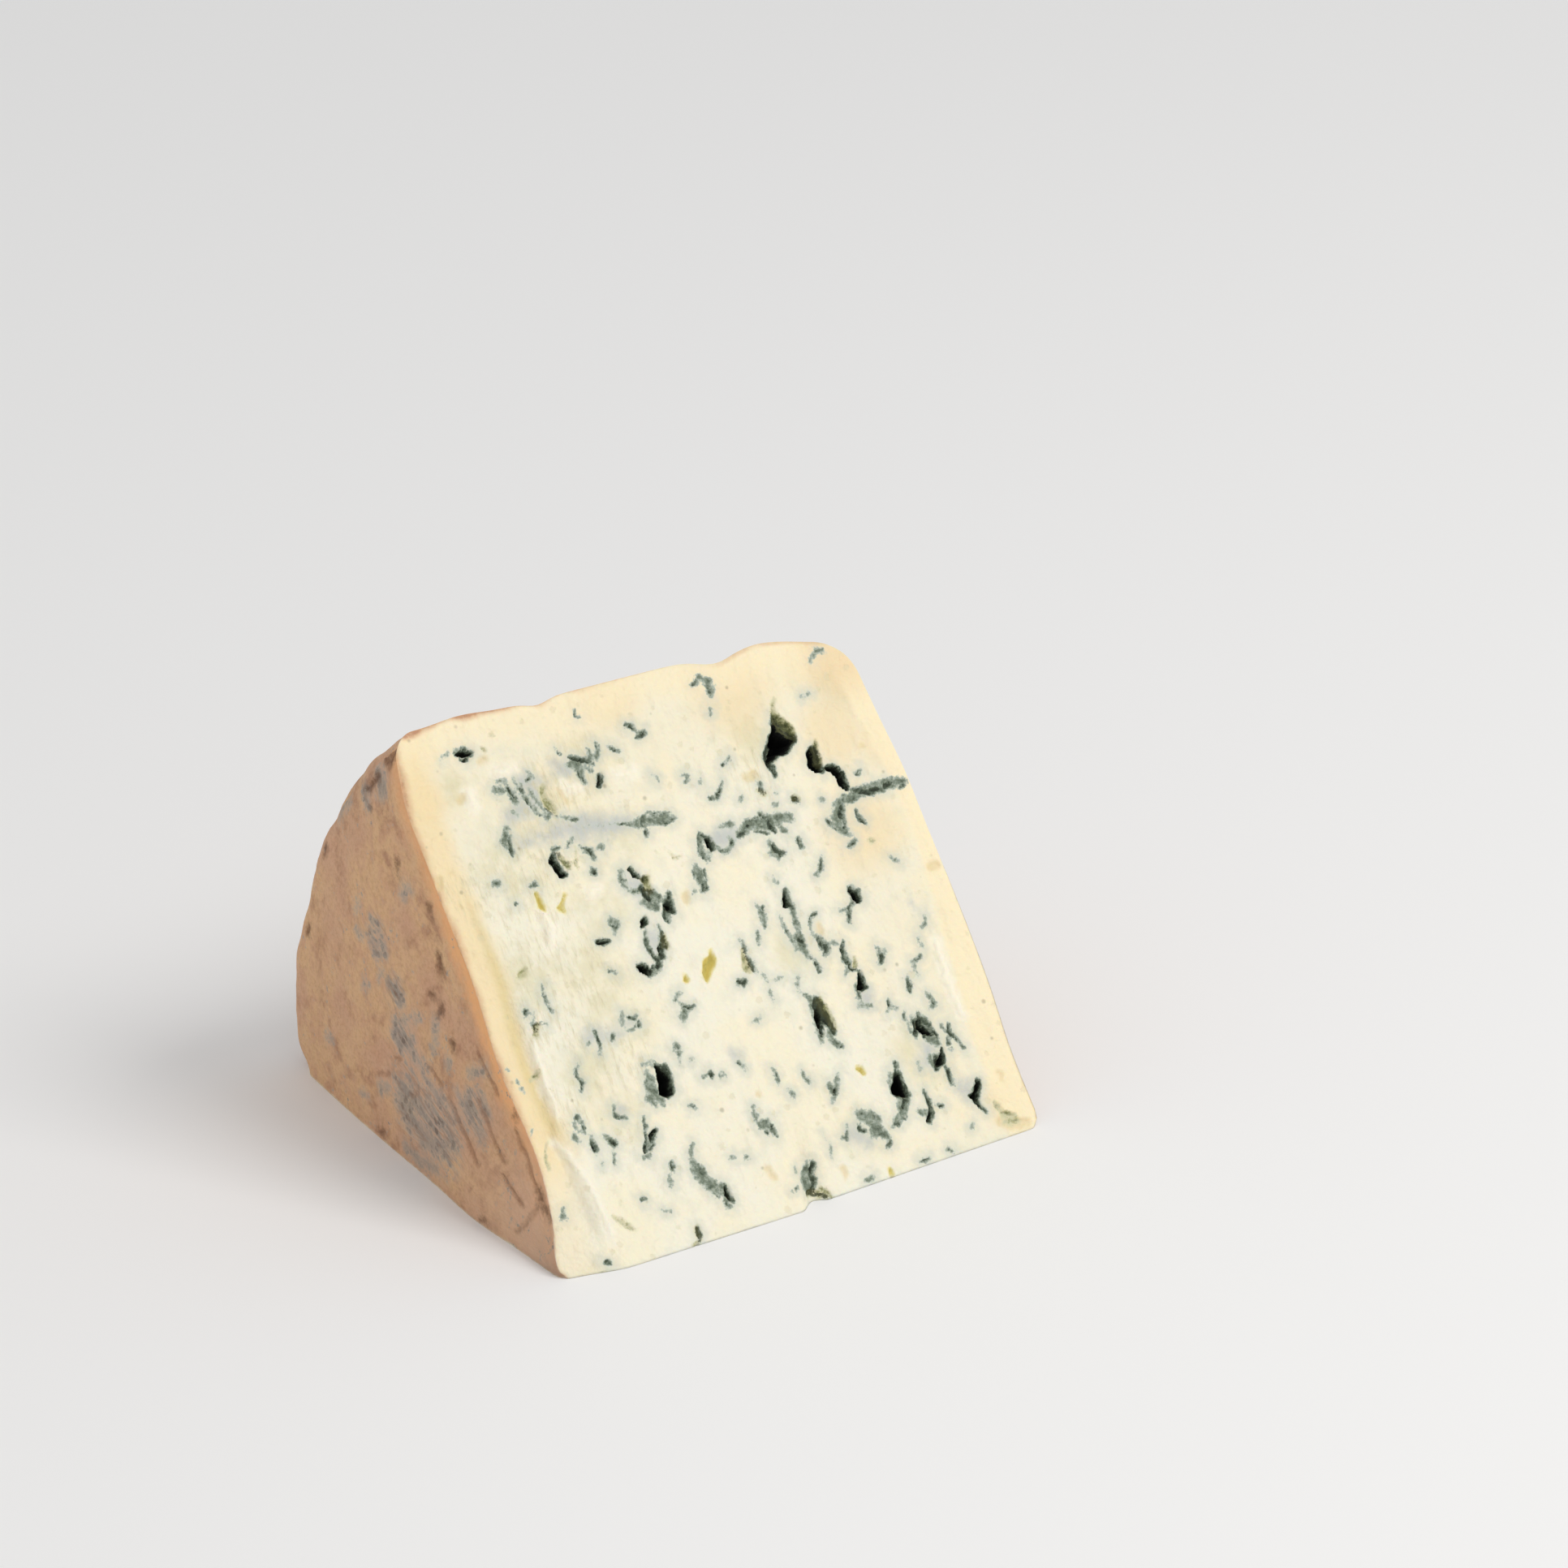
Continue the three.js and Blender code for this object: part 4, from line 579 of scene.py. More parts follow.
PALE = (
    ((-18.6, 87.6, 0.8), (-16.8, 86.2, 0.8)),
    ((-25.6, 87.0, 0.9), (-24.0, 84.0, 1.0)),
    ((-30.5, 81.0, 0.8), (-28.0, 81.6, 1.0), (-25.0, 83.0, 0.8), (-22.5, 85.0, 0.4)),
    ((-19.0, 75.8, 1.6), (-14.0, 75.1, 1.5), (-9.0, 74.4, 1.0)),
    ((-30.0, 76.0, 0.3), (-26.0, 76.2, 0.6), (-20.0, 76.0, 1.2)),
    ((-30.8, 39.6, 0.2), (-28.0, 39.2, 0.4), (-25.0, 39.0, 0.1)),
    ((-21.8, 40.2, 0.2), (-21.4, 39.6, 0)),
    ((-29.4, 26.0, 0), (-29.0, 25.6, 0)),
    ((-12.0, 63.8, 1.2), (-10.8, 61.6, 1.2)),
    ((-11.6, 53.6, 0.9), (-11.6, 51.6, 0.9)),
    ((40.6, 46.0, -0.4), (42.0, 44.0, -0.4)),
    ((33.6, 19.4, 0.8), (33.0, 17.6, 0.5)),
    ((13.0, 9.6, 0.6), (15.0, 7.6, 0.5)),
    ((8.0, 66.6, 1.6), (10.6, 66.4, 1.3)),
    ((-4.6, 29.4, 0.1), (-3.0, 28.6, -0.1)),
    ((38.6, 10.8, 1.2), (39.0, 10.4, 1.0)),
    ((25.4, 31.8, 0.9), (25.2, 31.0, 0.8)),
)
# Raised ridges of paste, painted lighter: painted highlights where the light catches them.
HIGHLIGHT_RIDGES = (
    ((-36.4, 87.2, 1.1), (-36.6, 85.0, 1.2)),
    ((-30.0, 89.2, 1.0), (-26.8, 89.0, 1.0)),
    ((-31.4, 62.4, 1.0), (-30.6, 60.0, 1.6), (-31.6, 57.0, 0.9)),
    ((-18.4, 83.4, 0.9), (-15.8, 82.6, 1.0)),
    ((-41.4, 27.6, 0.3), (-41.7, 32.0, 0.6), (-41.7, 38.0, 0.8), (-41.2, 43.0, 0.5), (-38.4, 45.4, 0.5)),
    ((-43.6, 24.2, 0.3), (-42.4, 21.0, 0.7), (-40.8, 16.0, 0.8), (-40.4, 10.0, 0.7), (-40.2, 5.0, 0.4)),
    ((-20.4, 63.8, 1.2), (-18.8, 64.2, 1.0)),
    ((-7.4, 83.0, 1.2), (-4.0, 82.6, 1.0)),
    ((43.0, 38.0, 0.7), (42.4, 31.0, 0.9), (43.0, 24.0, 0.7)),
)

# ---- marks on the left flat of the rind, as y, z and half width ----
RIND_SPOTS = (
    ((12.0, 12.2, 0.25), (10.6, 10.8, 0.3), (8.8, 9.8, 0.3)),
    ((43.6, 44.5, 0.6), (43.6, 42.6, 1.2), (43.2, 41.2, 0.5)),
    ((42.8, 35.8, 0.5), (43.0, 34.6, 1.0), (43.8, 33.2, 0.5)),
    ((46.2, 53.2, 0.5), (45.8, 51.2, 0.6)),
    ((38.6, 29.8, 0.8), (38.4, 28.4, 0.6)),
    ((56.2, 58.8, 0.4), (56.4, 55.6, 0.4)),
    ((63.0, 1.8, 0.9), (64.4, 1.2, 0.7)),
    ((24.4, 1.7, 0.4), (26.0, 1.0, 0.4)),
    ((91.2, 30.6, 0.6), (91.8, 29.4, 0.6)),
    ((66.2, 64.8, 0.5), (65.6, 65.2, 0.4)),
    ((58.6, 78.4, 0.8), (60.4, 76.0, 1.2), (62.4, 75.2, 0.9)),
    ((64.6, 71.0, 0.7), (66.8, 69.0, 1.0), (68.2, 67.6, 0.7)),
    ((84.4, 49.6, 0.5), (85.2, 47.8, 0.6)),
    ((7.9, 9.4, 0.4), (7.0, 9.1, 0.8)),
    ((45.2, 36.2, 0.4), (46.0, 35.8, 0.4)),
    ((18.8, 23.6, 0.5), (19.4, 22.6, 0.5)),
)
RIND_CREASES = (
    ((14.2, 8.4, 0.35), (17.2, 10.0, 0.35), (20.4, 11.8, 0.3)),
    ((10.8, 9.2, 0.35), (11.8, 7.2, 0.4), (13.0, 4.8, 0.4), (14.6, 3.4, 0.35)),
    ((27.0, 11.6, 0.4), (30.2, 13.6, 0.5), (33.2, 15.4, 0.5)),
    ((33.2, 15.4, 0.5), (36.4, 18.2, 0.4), (38.4, 19.4, 0.3)),
    ((40.6, 20.8, 0.5), (43.2, 21.8, 0.4), (46.0, 22.6, 0.3)),
    ((20.8, 14.0, 0.35), (24.4, 17.2, 0.35), (27.4, 20.4, 0.4), (29.4, 22.4, 0.3)),
    ((12.4, 12.0, 0.35), (16.2, 16.6, 0.35), (19.2, 20.4, 0.3)),
    ((48.6, 16.0, 0.35), (51.8, 14.2, 0.4)),
    ((56.0, 19.8, 0.4), (58.0, 19.0, 0.4)),
    ((24.0, 25.6, 0.3), (27.6, 28.4, 0.35), (30.6, 31.4, 0.3)),
    ((60.4, 15.0, 0.3), (64.4, 13.0, 0.35)),
)
RIND_MOULDS = (
    ((39.2, 25.8, 1.0), (40.0, 25.0, 0.8)),
    ((44.0, 32.0, 0.9), (44.2, 26.6, 1.0)),
    ((52.4, 55.0, 0.9), (54.4, 52.6, 1.2)),
    ((61.8, 38.2, 1.2), (64.6, 36.6, 1.5), (66.8, 39.0, 1.2)),
    ((70.4, 38.6, 0.9), (71.0, 38.0, 0.8)),
    ((70.6, 44.6, 0.5), (72.2, 41.8, 0.6)),
    ((63.0, 33.6, 0.6), (63.6, 32.0, 0.5)),
    ((68.4, 29.2, 0.8), (69.2, 28.4, 0.6)),
    ((54.6, 27.8, 1.4), (56.8, 27.0, 0.8)),
    ((60.6, 12.2, 1.0), (63.2, 10.4, 1.0)),
    ((48.8, 21.6, 1.6), (52.6, 23.8, 1.4), (55.8, 22.8, 1.0)),
    ((27.6, 15.8, 1.0), (30.4, 17.8, 1.2), (33.4, 19.2, 1.0), (35.8, 21.4, 0.8)),
    ((38.6, 17.8, 0.9), (40.8, 19.0, 0.8)),
    ((35.0, 11.6, 1.4), (41.0, 8.8, 2.2), (47.0, 7.4, 2.6), (50.4, 9.6, 2.0)),
    ((43.4, 14.8, 1.8), (50.4, 13.8, 1.5)),
    ((42.6, 3.4, 1.4), (48.0, 2.6, 1.6), (54.4, 2.8, 1.2)),
    ((50.0, 30.4, 1.0), (50.8, 29.2, 0.8)),
    ((28.2, 29.0, 0.9), (31.8, 26.6, 1.0)),
    ((75.4, 62.4, 0.7), (77.6, 60.2, 1.1), (80.0, 57.0, 0.8)),
    ((69.0, 6.8, 0.8), (70.2, 6.2, 0.7)),
    ((82.6, 12.2, 1.0), (84.0, 11.8, 0.8)),
)
LEFT_RIND_MARKS = {
    "spot": RIND_SPOTS,
    "line": RIND_CREASES,
    "mould": RIND_MOULDS,
    "patch": (  # y, z and radius
        (30, 20, 5), (41, 12, 9), (50, 14, 10), (55, 24, 5), (64, 41, 4), (58, 32, 4), (63, 71, 4),
        (68, 66, 3),
    ),
}

# ---- soft tints on the cut face that shows: x, radius and reach of each ----
DULL_PATCHES = (
    (-34, 72, 8), (-26, 82, 7), (-37, 52, 7), (-26, 48, 8), (45, 88, 6), (-13, 72, 6), (-20, 60, 6),
    (-12, 86, 5), (-40, 88, 4), (-33, 34, 6), (33, 20, 6), (15, 44, 5), (16, 9, 5), (22, 84, 5),
    (-22, 40, 5), (-30, 24, 5),
)
WARM_PATCHES = (
    (44, 93, 10), (47, 76, 6), (-4, 97, 6), (20, 92, 8), (38, 80, 7), (-47, 88, 5), (46, 6, 5), (36, 61, 8),
)
DRAGGED_PATCHES = (
    (-36, 44, 9), (-33, 60, 10), (-30, 72, 9), (-22, 82, 9), (-14, 86, 6), (-28, 50, 8), (-26, 34, 7),
    (-43, 70, 6), (-40, 28, 6), (20, 78, 6),
)

# ---- along the edges of a cut face: radii from the tip, and the value at each ----
LEDGE = ((0, 10, 19, 23, 25, 28, 38, 50), (-42.2, -42.2, -42.6, -43.6, -43.4, -42.4, -42.4, -41.6))  # x
RIGHT_BAND = ((0, 15, 30, 45, 60, 75, 95), (6.4, 7.2, 7.0, 5.0, 3.3, 4.4, 6.0))  # width

# ---- how deep each kind of mark goes: at no width, and more for each millimetre of half width ----
MARK_DEPTHS = {
    "black": (0.7, 3.2),
    "dark": (0.15, 0.9),
    "grey": (0.03, 0.12),
    "olive": (0.2, 0.9),
    "yellow": (0.4, 1.1),
    "tan": (0.1, 0.3),
    "pale": (0.0, 0.0),
    "highlight": (0.1, 0.3),  # raised, not sunk, and painted lighter as a highlight
}
RIND_DEPTHS = {"spot": (0.1, 0.35), "line": (0.1, 0.6), "mould": (0.0, 0.0)}
SINK_START = -0.05  # millimetres inside a mark where it starts to sink
SINK_FULL = 0.75  # share of its half width where it is at its full depth
SHOWN_MARKS = {
    "black": BLACK,
    "dark": DARK,
    "grey": GREY,
    "olive": OLIVE,
    "yellow": YELLOW,
    "tan": TAN,
    "pale": PALE,
    "highlight": HIGHLIGHT_RIDGES,
}
FAR_OUTSIDE = -3.0  # no mark is felt farther off than this

# ---- holes in the cut face that it lies on, by the CAD source's rule ----
HIDDEN_HOLES = 16
HIDDEN_SEED = 41
HIDDEN_WIDTH = (2.4, 5.0)
HIDDEN_STRETCH = (1.1, 2.6)
HIDDEN_LEAN = 25
HIDDEN_MARGIN = 12
RESTING_PATCH = 14
SPINDLE_LEAST = 0.4
SPINDLE_MIDDLE = 0.42  # half widths of a hole, as shares of its width
SPINDLE_END = 0.24

# ---- marks by a seeded rule, on the ground face, the right flat and the rim ----
WANDER_SPREAD = 0.4  # how far a mark's first heading strays from the lean, in radians
WANDER_TURN = 0.5
WANDER_POINTS = (1, 5)  # after the first, and fewer than the second number
WANDER_WIDTHS = (0.5, 1)  # shares of the mark's half width
WANDER_STEPS = (1, 2.4)
WANDER_LEAST_STEP = 0.3
GROUND_SEED = 29
GROUND_SPAN = ((-44, 4), (44, 94))
GROUND_LEAN = math.radians(80)
GROUND_RIM = 0.7  # grey mould round a hole, beyond its edge
# How many of each kind, and their least and greatest half width.
GROUND_MARKS = {
    "dark": (110, (0.25, 0.8)),
    "grey": (150, (0.3, 1.3)),
    "olive": (14, (0.3, 0.7)),
    "yellow": (12, (0.4, 1.0)),
    "tan": (12, (0.3, 0.9)),
    "pale": (26, (0.8, 2.0)),
    "highlight": (12, (0.6, 1.2)),
}
SEEDED_RIND_MARKS = {"spot": (14, (0.3, 1.2)), "line": (12, (0.3, 0.45)), "mould": (26, (0.6, 2.0))}
RIND_PATCHES = 5
RIND_PATCH_RADII = (4, 9)
# Seed, the low and the high corner of where the marks start, and the lean.
RIGHT_RIND = (17, (12, 4), (85, 46), math.radians(25))
RIM_RIND = (23, (-42, 6), (42, 86), math.radians(90))

# ---- how uneven the outlines of marks and soft patches are ----
WARP_SIZE = 1.8
WARP_REACH = 0.26
WARP_LAYERS = 3
WARP_SEEDS = (0, 20)  # for the two directions, more than the side's own seed
SIDE_SEEDS = {"shown": 3, "ground": 5, "left": 7, "right": 9, "rim": 13}
PATCH_CORE = 0.35  # share of a soft patch's radius where it starts to fade
PATCH_END = 1.5


# ---- seeded noise on arrays of points ----
WORD = 0xFFFFFFFF
SEED_FACTOR = 2654435761
FACTORS = (374761393, 668265263, 2246822519)
RANDOM_STEP = 0x6D2B79F5


def hashed(cells, seed):
    """Random numbers from 0 to 1, one for each row of whole numbers."""
    words = cells.astype(np.int64).astype(np.uint32)
    value = np.full(words.shape[:-1], seed * SEED_FACTOR & WORD, dtype=np.uint32)
    for axis, factor in zip(range(words.shape[-1]), FACTORS):
        value = (value ^ words[..., axis]) * np.uint32(factor)
        value = value ^ (value >> np.uint32(15))
    value = value * np.uint32(FACTORS[-1])
    value = value ^ (value >> np.uint32(13))
    return value.astype(np.float64) / WORD


def noise(points, seed):
    """Smooth noise from -1 to 1 at each point, with features about one unit wide."""
    base = np.floor(points)
    part = points - base
    eased = part * part * part * (part * (part * 6 - 15) + 10)
    total = np.zeros(points.shape[:-1])
    axes = points.shape[-1]
    for corner in range(2**axes):
        step = np.array([(corner >> axis) & 1 for axis in range(axes)])
        weight = np.prod(np.where(step, eased, 1 - eased), axis=-1)
        total += weight * hashed(base + step, seed)
    return total * 2 - 1


def layered(points, octaves, seed):
    """Noise with finer and weaker noise on top."""
    return sum(noise(points * 2**n, seed + n) / 2**n for n in range(octaves))


def cad_random(seed):
    """The CAD source's seeded random numbers from 0 to 1, so that the same holes come out."""
    state = seed
    while True:
        state = (state + RANDOM_STEP) & WORD
        t = (state ^ state >> 15) * (1 | state) & WORD
        t = (t + (t ^ t >> 7) * (61 | t) & WORD) ^ t
        yield (t ^ t >> 14) / 2**32


# ---- the wedge's form ----
def bump(value, middle, width):
    return np.exp(-(((value - middle) / width) ** 2))


def smoothstep(value, low, high):
    """From 0 at the low value to 1 at the high one."""
    t = np.clip((value - low) / (high - low), 0, 1)
    return t * t * (3 - 2 * t)


def fade(value, low, high):
    """From 1 at the low value to 0 at the high one."""
    return 1 - smoothstep(value, low, high)


def lerp(a, b, t):
    return a + (b - a) * t


def swell(value, swells):
    return sum(height * bump(value, middle, width) for height, middle, width in swells)


def near_shown_face(angle):
    """0 at the ground face, 1 at the cut face that shows."""
    return smoothstep(angle / WEDGE_ANGLE, SWAY_START, 1)


def off_tip(radius):
    """0 on the tip, where all angles meet in one edge, 1 a little way out."""
    return smoothstep(radius, 0, OFF_TIP)


def flat_drop(radius):
    return RIM_DROP * (radius / WHEEL_RADIUS) ** DROP_CURVE


def worn_corner(radius):
    return TIP_CORNER * bump(radius, 0, TIP_CORNER_REACH)


def left_half(radius, angle):
    sway = lerp(swell(radius, LEFT_DOME), swell(radius, LEFT_DISH), near_shown_face(angle))
    return LEFT_TIP_HALF - flat_drop(radius) + off_tip(radius) * sway - worn_corner(radius)


def right_half(radius, angle):
    sway = off_tip(radius) * near_shown_face(angle) * swell(radius, RIGHT_SWELLS)
    return RIGHT_TIP_HALF - flat_drop(radius) + sway - worn_corner(radius)


def rim_radius(x, angle):
    slope = -RIGHT_SLOPE * smoothstep(x, *RIGHT_SLOPE_AT)
    waves = RIM_WAVE * np.cos((angle / RIM_WAVE_ANGLE) * 2 * math.pi + x / RIM_WAVE_TURN)
    low, high = swell(x, RIM_FOOT) + waves, swell(x, RIM_DENTS) + slope
    tuck = (RIM_TUCK + LEFT_TUCK * bump(x, *LEFT_TUCK_AT)) * bump(angle, 0, TUCK_ANGLE)
    return WHEEL_RADIUS - RIM_LEAN * x + lerp(low, high, near_shown_face(angle)) - tuck


def foot_flare(x):
    nick_left, nick_bottom, nick_right = NICK
    left = FOOT_FLARE * smoothstep(x, *FLARE_START) * fade(x, nick_left, nick_bottom)
    fall = RIGHT_FLARE_FALL * (x - nick_right)
    return left + smoothstep(x, nick_bottom, nick_right) * (RIGHT_FLARE - fall)


def cut_relief(x, radius):
    waves = CUT_WAVE * np.sin(x / CUT_WAVE_ALONG + CUT_WAVE_START) * np.cos(radius / CUT_WAVE_OUT)
    reach = smoothstep(radius, *GROOVE_STARTS) * fade(radius, *GROOVE_ENDS)
    return (waves - GROOVE_DEPTH * bump(x, *GROOVE_AT) * reach) * off_tip(radius)


def on_wedge(plain):
    """x, radius on the uneven wedge, for rows of plain radius, angle and plain x."""
    plain_radius, angle, plain_x = plain.T
    across = (plain_x / LEFT_TIP_HALF + 1) / 2
    half = lerp(left_half(plain_radius, angle), right_half(plain_radius, angle), across)
    x = plain_x / LEFT_TIP_HALF * half
    return x, plain_radius / WHEEL_RADIUS * rim_radius(x, angle)


def place(plain):
    """Points of the wedge without its marks, for rows of plain radius, angle and plain x."""
    angle = plain[:, 1]
    x, radius = on_wedge(plain)
    points = np.stack([x, radius * np.cos(angle), radius * np.sin(angle)], axis=-1)
    at_shown_face = smoothstep(angle / WEDGE_ANGLE, RELIEF_START, 1)
    points += FACE_OUT * (cut_relief(x, radius) * at_shown_face)[:, None]
    points[:, 1] -= foot_flare(x) * bump(radius, 0, FOOT_REACH)
    return points


def side_outline(share, rounding, side):
    """Plain radius and x on a flat, from the tip to the middle of its rounding."""
    turn = np.clip((share - 1 + ARC_SHARE) / ARC_SHARE, 0, 1) * math.pi / 4
    straight = np.clip(share / (1 - ARC_SHARE), 0, 1) * (WHEEL_RADIUS - rounding)
    radius = straight + rounding * np.sin(turn)
    return np.stack([radius, side * (LEFT_TIP_HALF - rounding * (1 - np.cos(turn)))], axis=-1)


def rim_outline(share):
    """Plain radius and x on the rim, from the middle of the left rounding to that of the right."""
    middle = np.clip((share - RIM_ARC_SHARE) / (1 - 2 * RIM_ARC_SHARE), 0, 1)
    x = lerp(-LEFT_TIP_HALF + LEFT_ROUNDING, LEFT_TIP_HALF - RIGHT_ROUNDING, middle)
    left = np.clip(1 - share / RIM_ARC_SHARE, 0, 1) * math.pi / 4
    right = np.clip(1 - (1 - share) / RIM_ARC_SHARE, 0, 1) * math.pi / 4
    x = x - LEFT_ROUNDING * np.sin(left) + RIGHT_ROUNDING * np.sin(right)
    drop = LEFT_ROUNDING * (1 - np.cos(left)) + RIGHT_ROUNDING * (1 - np.cos(right))
    return np.stack([WHEEL_RADIUS - drop, x], axis=-1)


def inside_cut(out, along):
    """Plain radius and x inside a cut face, blended from its four edges, for grids of shares from 0 to 1."""
    left = side_outline(out, LEFT_ROUNDING, -1)
    right = side_outline(out, RIGHT_ROUNDING, 1)
    rim = rim_outline(along)
    out, along = out[..., None], along[..., None]
    tip = lerp(left[0, 0], right[0, 0], along)
    far = lerp(left[-1, 0], right[-1, 0], along)
    return lerp(left, right, along) + lerp(tip, rim, out) - lerp(tip, far, out)


def at_angle(outline, angle):
    """Plain places for an outline of plain radius and x, at one angle or at a column of them."""
    radius, x = np.moveaxis(outline, -1, 0)
    return np.stack(np.broadcast_arrays(radius, angle, x), axis=-1)


def on_cuts(plain):
    """Which plain places are on the cut that shows and on the ground face; the tip edge is on both."""
    on_tip = plain[:, 0] < NEARLY
    return on_tip | (plain[:, 1] > WEDGE_ANGLE - NEARLY), plain[:, 1] < NEARLY


# ---- the mesh ----
class Wedge:
    """Collects the wedge's vertices, as plain places, and its faces, with shared edges shared."""

    def __init__(self):
        self.rows = []
        self.count = 0
        self.faces = []

    def add_points(self, plain):
        """Adds an array of plain places and returns their numbers, in the same shape."""
        flat = plain.reshape(-1, 3).copy()
        flat[flat[:, 0] < NEARLY, 1] = 0
        self.rows.append(flat)
        numbers = np.arange(self.count, self.count + len(flat)).reshape(plain.shape[:-1])
        self.count += len(flat)
        return numbers

    def add_quads(self, ids, flipped):
        corners = [ids[:-1, :-1], ids[:-1, 1:], ids[1:, 1:], ids[1:, :-1]]
        self.add_block(np.stack(corners, axis=-1).reshape(-1, 4), flipped)

    def add_strip(self, near, far, flipped):
        """Triangles between two rows that run the same way, each with steps of its own."""
        corners = []
        n = m = 0
        last_n, last_m = len(near) - 1, len(far) - 1
        while n < last_n or m < last_m:
            if m == last_m or (n < last_n and (n + 1) * last_m <= (m + 1) * last_n):
                corners.append((near[n], near[n + 1], far[m]))
                n += 1
            else:
                corners.append((near[n], far[m + 1], far[m]))
                m += 1
        self.add_block(np.array(corners), flipped)

    def add_block(self, faces, flipped):
        self.faces.append(faces[:, ::-1] if flipped else faces)

    def merged(self):
        """Plain places with doubles merged, and faces as lists without repeated corners."""
        rows = np.concatenate(self.rows)
        keys = np.round(rows, MERGE_DECIMALS) + 0.0  # so that -0 is 0
        _, first, renumber = np.unique(keys, axis=0, return_index=True, return_inverse=True)
        renumber = renumber.reshape(-1)
        faces = []
        for block in self.faces:
            for face in renumber[block].tolist():
                kept = [v for n, v in enumerate(face) if v != face[n - 1]]
                if len(kept) > 2:
                    faces.append(kept)
        return rows[first], faces


def shares(steps):
    return np.linspace(0, 1, steps + 1)


def round_angles():
    """Angles between the ground face and the cut that shows, closer together near both."""
    even = shares(ROUND_STEPS)[1:-1]
    return WEDGE_ANGLE * (EVEN_SHARE * even + CLOSER_SHARE * (1 - np.cos(even * math.pi)) / 2)


def cut_face(steps, angle):
    out, along = np.meshgrid(*(shares(count) for count in steps), indexing="ij")
    return at_angle(inside_cut(out, along), angle)


def build_wedge():
    wedge = Wedge()
    shown = wedge.add_points(cut_face(SHOWN_STEPS, WEDGE_ANGLE))
    ground = wedge.add_points(cut_face(GROUND_STEPS, 0.0))
    wedge.add_quads(shown, False)
    wedge.add_quads(ground[1:], True)
    wedge.add_strip(ground[1], shown[0], False)
    rinds = [
        (side_outline(shares(LEFT_STEPS), LEFT_ROUNDING, -1), ground[:, 0], shown[:, 0], True),
        (side_outline(shares(RIGHT_STEPS), RIGHT_ROUNDING, 1), ground[:, -1], shown[:, -1], False),
        (rim_outline(shares(RIM_STEPS)), ground[-1], shown[-1], True),
    ]
    for outline, low_edge, high_edge, flipped in rinds:
        ids = wedge.add_points(at_angle(outline, round_angles()[:, None]))
        wedge.add_quads(ids, flipped)
        wedge.add_strip(low_edge, ids[0], flipped)
        wedge.add_strip(ids[-1], high_edge, flipped)
    return wedge.merged()


# ---- marks as fields on arrays of places ----
def inside_stroke(places, stroke):
    inside = np.full(len(places), FAR_OUTSIDE)
    for start, end in zip(stroke[:-1], stroke[1:]):
        start, end = np.array(start), np.array(end)
        run = end[:2] - start[:2]
        share = np.clip((places - start[:2]) @ run / (run @ run), 0, 1)
        off = np.linalg.norm(places - start[:2] - share[:, None] * run, axis=-1)
        inside = np.maximum(inside, lerp(start[2], end[2], share) - off)
    return inside


def inside_strokes(places, strokes, depths=(0.0, 0.0)):
    """Millimetres inside the nearest stroke at each place, and how far the strokes sink it."""
    inside = np.full(len(places), FAR_OUTSIDE)
    sunk = np.zeros(len(places))
    for stroke in strokes:
        points = np.array(stroke)
        widest = points[:, 2].max()
        reach = widest - FAR_OUTSIDE
        low, high = points[:, :2].min(axis=0) - reach, points[:, :2].max(axis=0) + reach
        near = ((places > low) & (places < high)).all(axis=1)
        here = inside_stroke(places[near], stroke)
        inside[near] = np.maximum(inside[near], here)
        depth = (depths[0] + depths[1] * widest) * smoothstep(here, SINK_START, SINK_FULL * widest)
        sunk[near] = np.maximum(sunk[near], depth)
    return inside, sunk


def warped(places, seed):
    """Places pushed about a little, so that outlines come out uneven."""
    push = [layered(places / WARP_SIZE, WARP_LAYERS, seed + other) for other in WARP_SEEDS]
    return places + WARP_REACH * np.stack(push, axis=-1)


def cut_marks(places, marks, seed):
    """The fields of a cut face: millimetres inside each kind of mark, and how far it is sunk."""
    bent = warped(places, seed)
    fields = {}
    depth = np.zeros(len(places))
    for name, strokes in marks.items():
        fields[name], sunk = inside_strokes(bent, strokes, MARK_DEPTHS[name])
        depth = depth - sunk if name == "highlight" else np.maximum(depth, sunk)
    fields["depth"] = depth
    return fields


def wandering(random, count, widths, low, high, lean):
    """Seeded strokes: short chains of points that keep roughly to one direction, in radians."""
    strokes = []
    for _ in range(count):
        here = random.uniform(low, high)
        width = lerp(*widths, random.random() ** 2)
        heading = random.normal(lean, WANDER_SPREAD)
        points = [(*here, width * random.uniform(*WANDER_WIDTHS))]
        for _ in range(random.integers(*WANDER_POINTS)):
            heading += random.normal(0, WANDER_TURN)
            step = width * random.uniform(*WANDER_STEPS) + WANDER_LEAST_STEP
            here = here + step * np.array([math.cos(heading), math.sin(heading)])
            points.append((*here, width * random.uniform(*WANDER_WIDTHS)))
        strokes.append(points)
    return strokes


def hidden_holes():
    """The CAD source's seeded holes in the ground face, as strokes."""
    random = cad_random(HIDDEN_SEED)
    holes = []
    while len(holes) < HIDDEN_HOLES:
        x = lerp(-1, 1, next(random)) * (LEFT_TIP_HALF - RIM_DROP - HIDDEN_MARGIN)
        radius = lerp(HIDDEN_MARGIN, WHEEL_RADIUS - HIDDEN_MARGIN, next(random))
        width = lerp(*HIDDEN_WIDTH, next(random))
        height = width * lerp(*HIDDEN_STRETCH, next(random))
        lean = math.radians(lerp(-HIDDEN_LEAN, HIDDEN_LEAN, next(random)))
        clear = all(math.hypot(x - other[0], radius - other[1]) > HIDDEN_MARGIN for other in holes)
        if clear and math.hypot(x, radius - WHEEL_RADIUS / 2) > RESTING_PATCH:
            holes.append((x, radius, width, height, lean))
    return [spindle(*hole) for hole in holes]


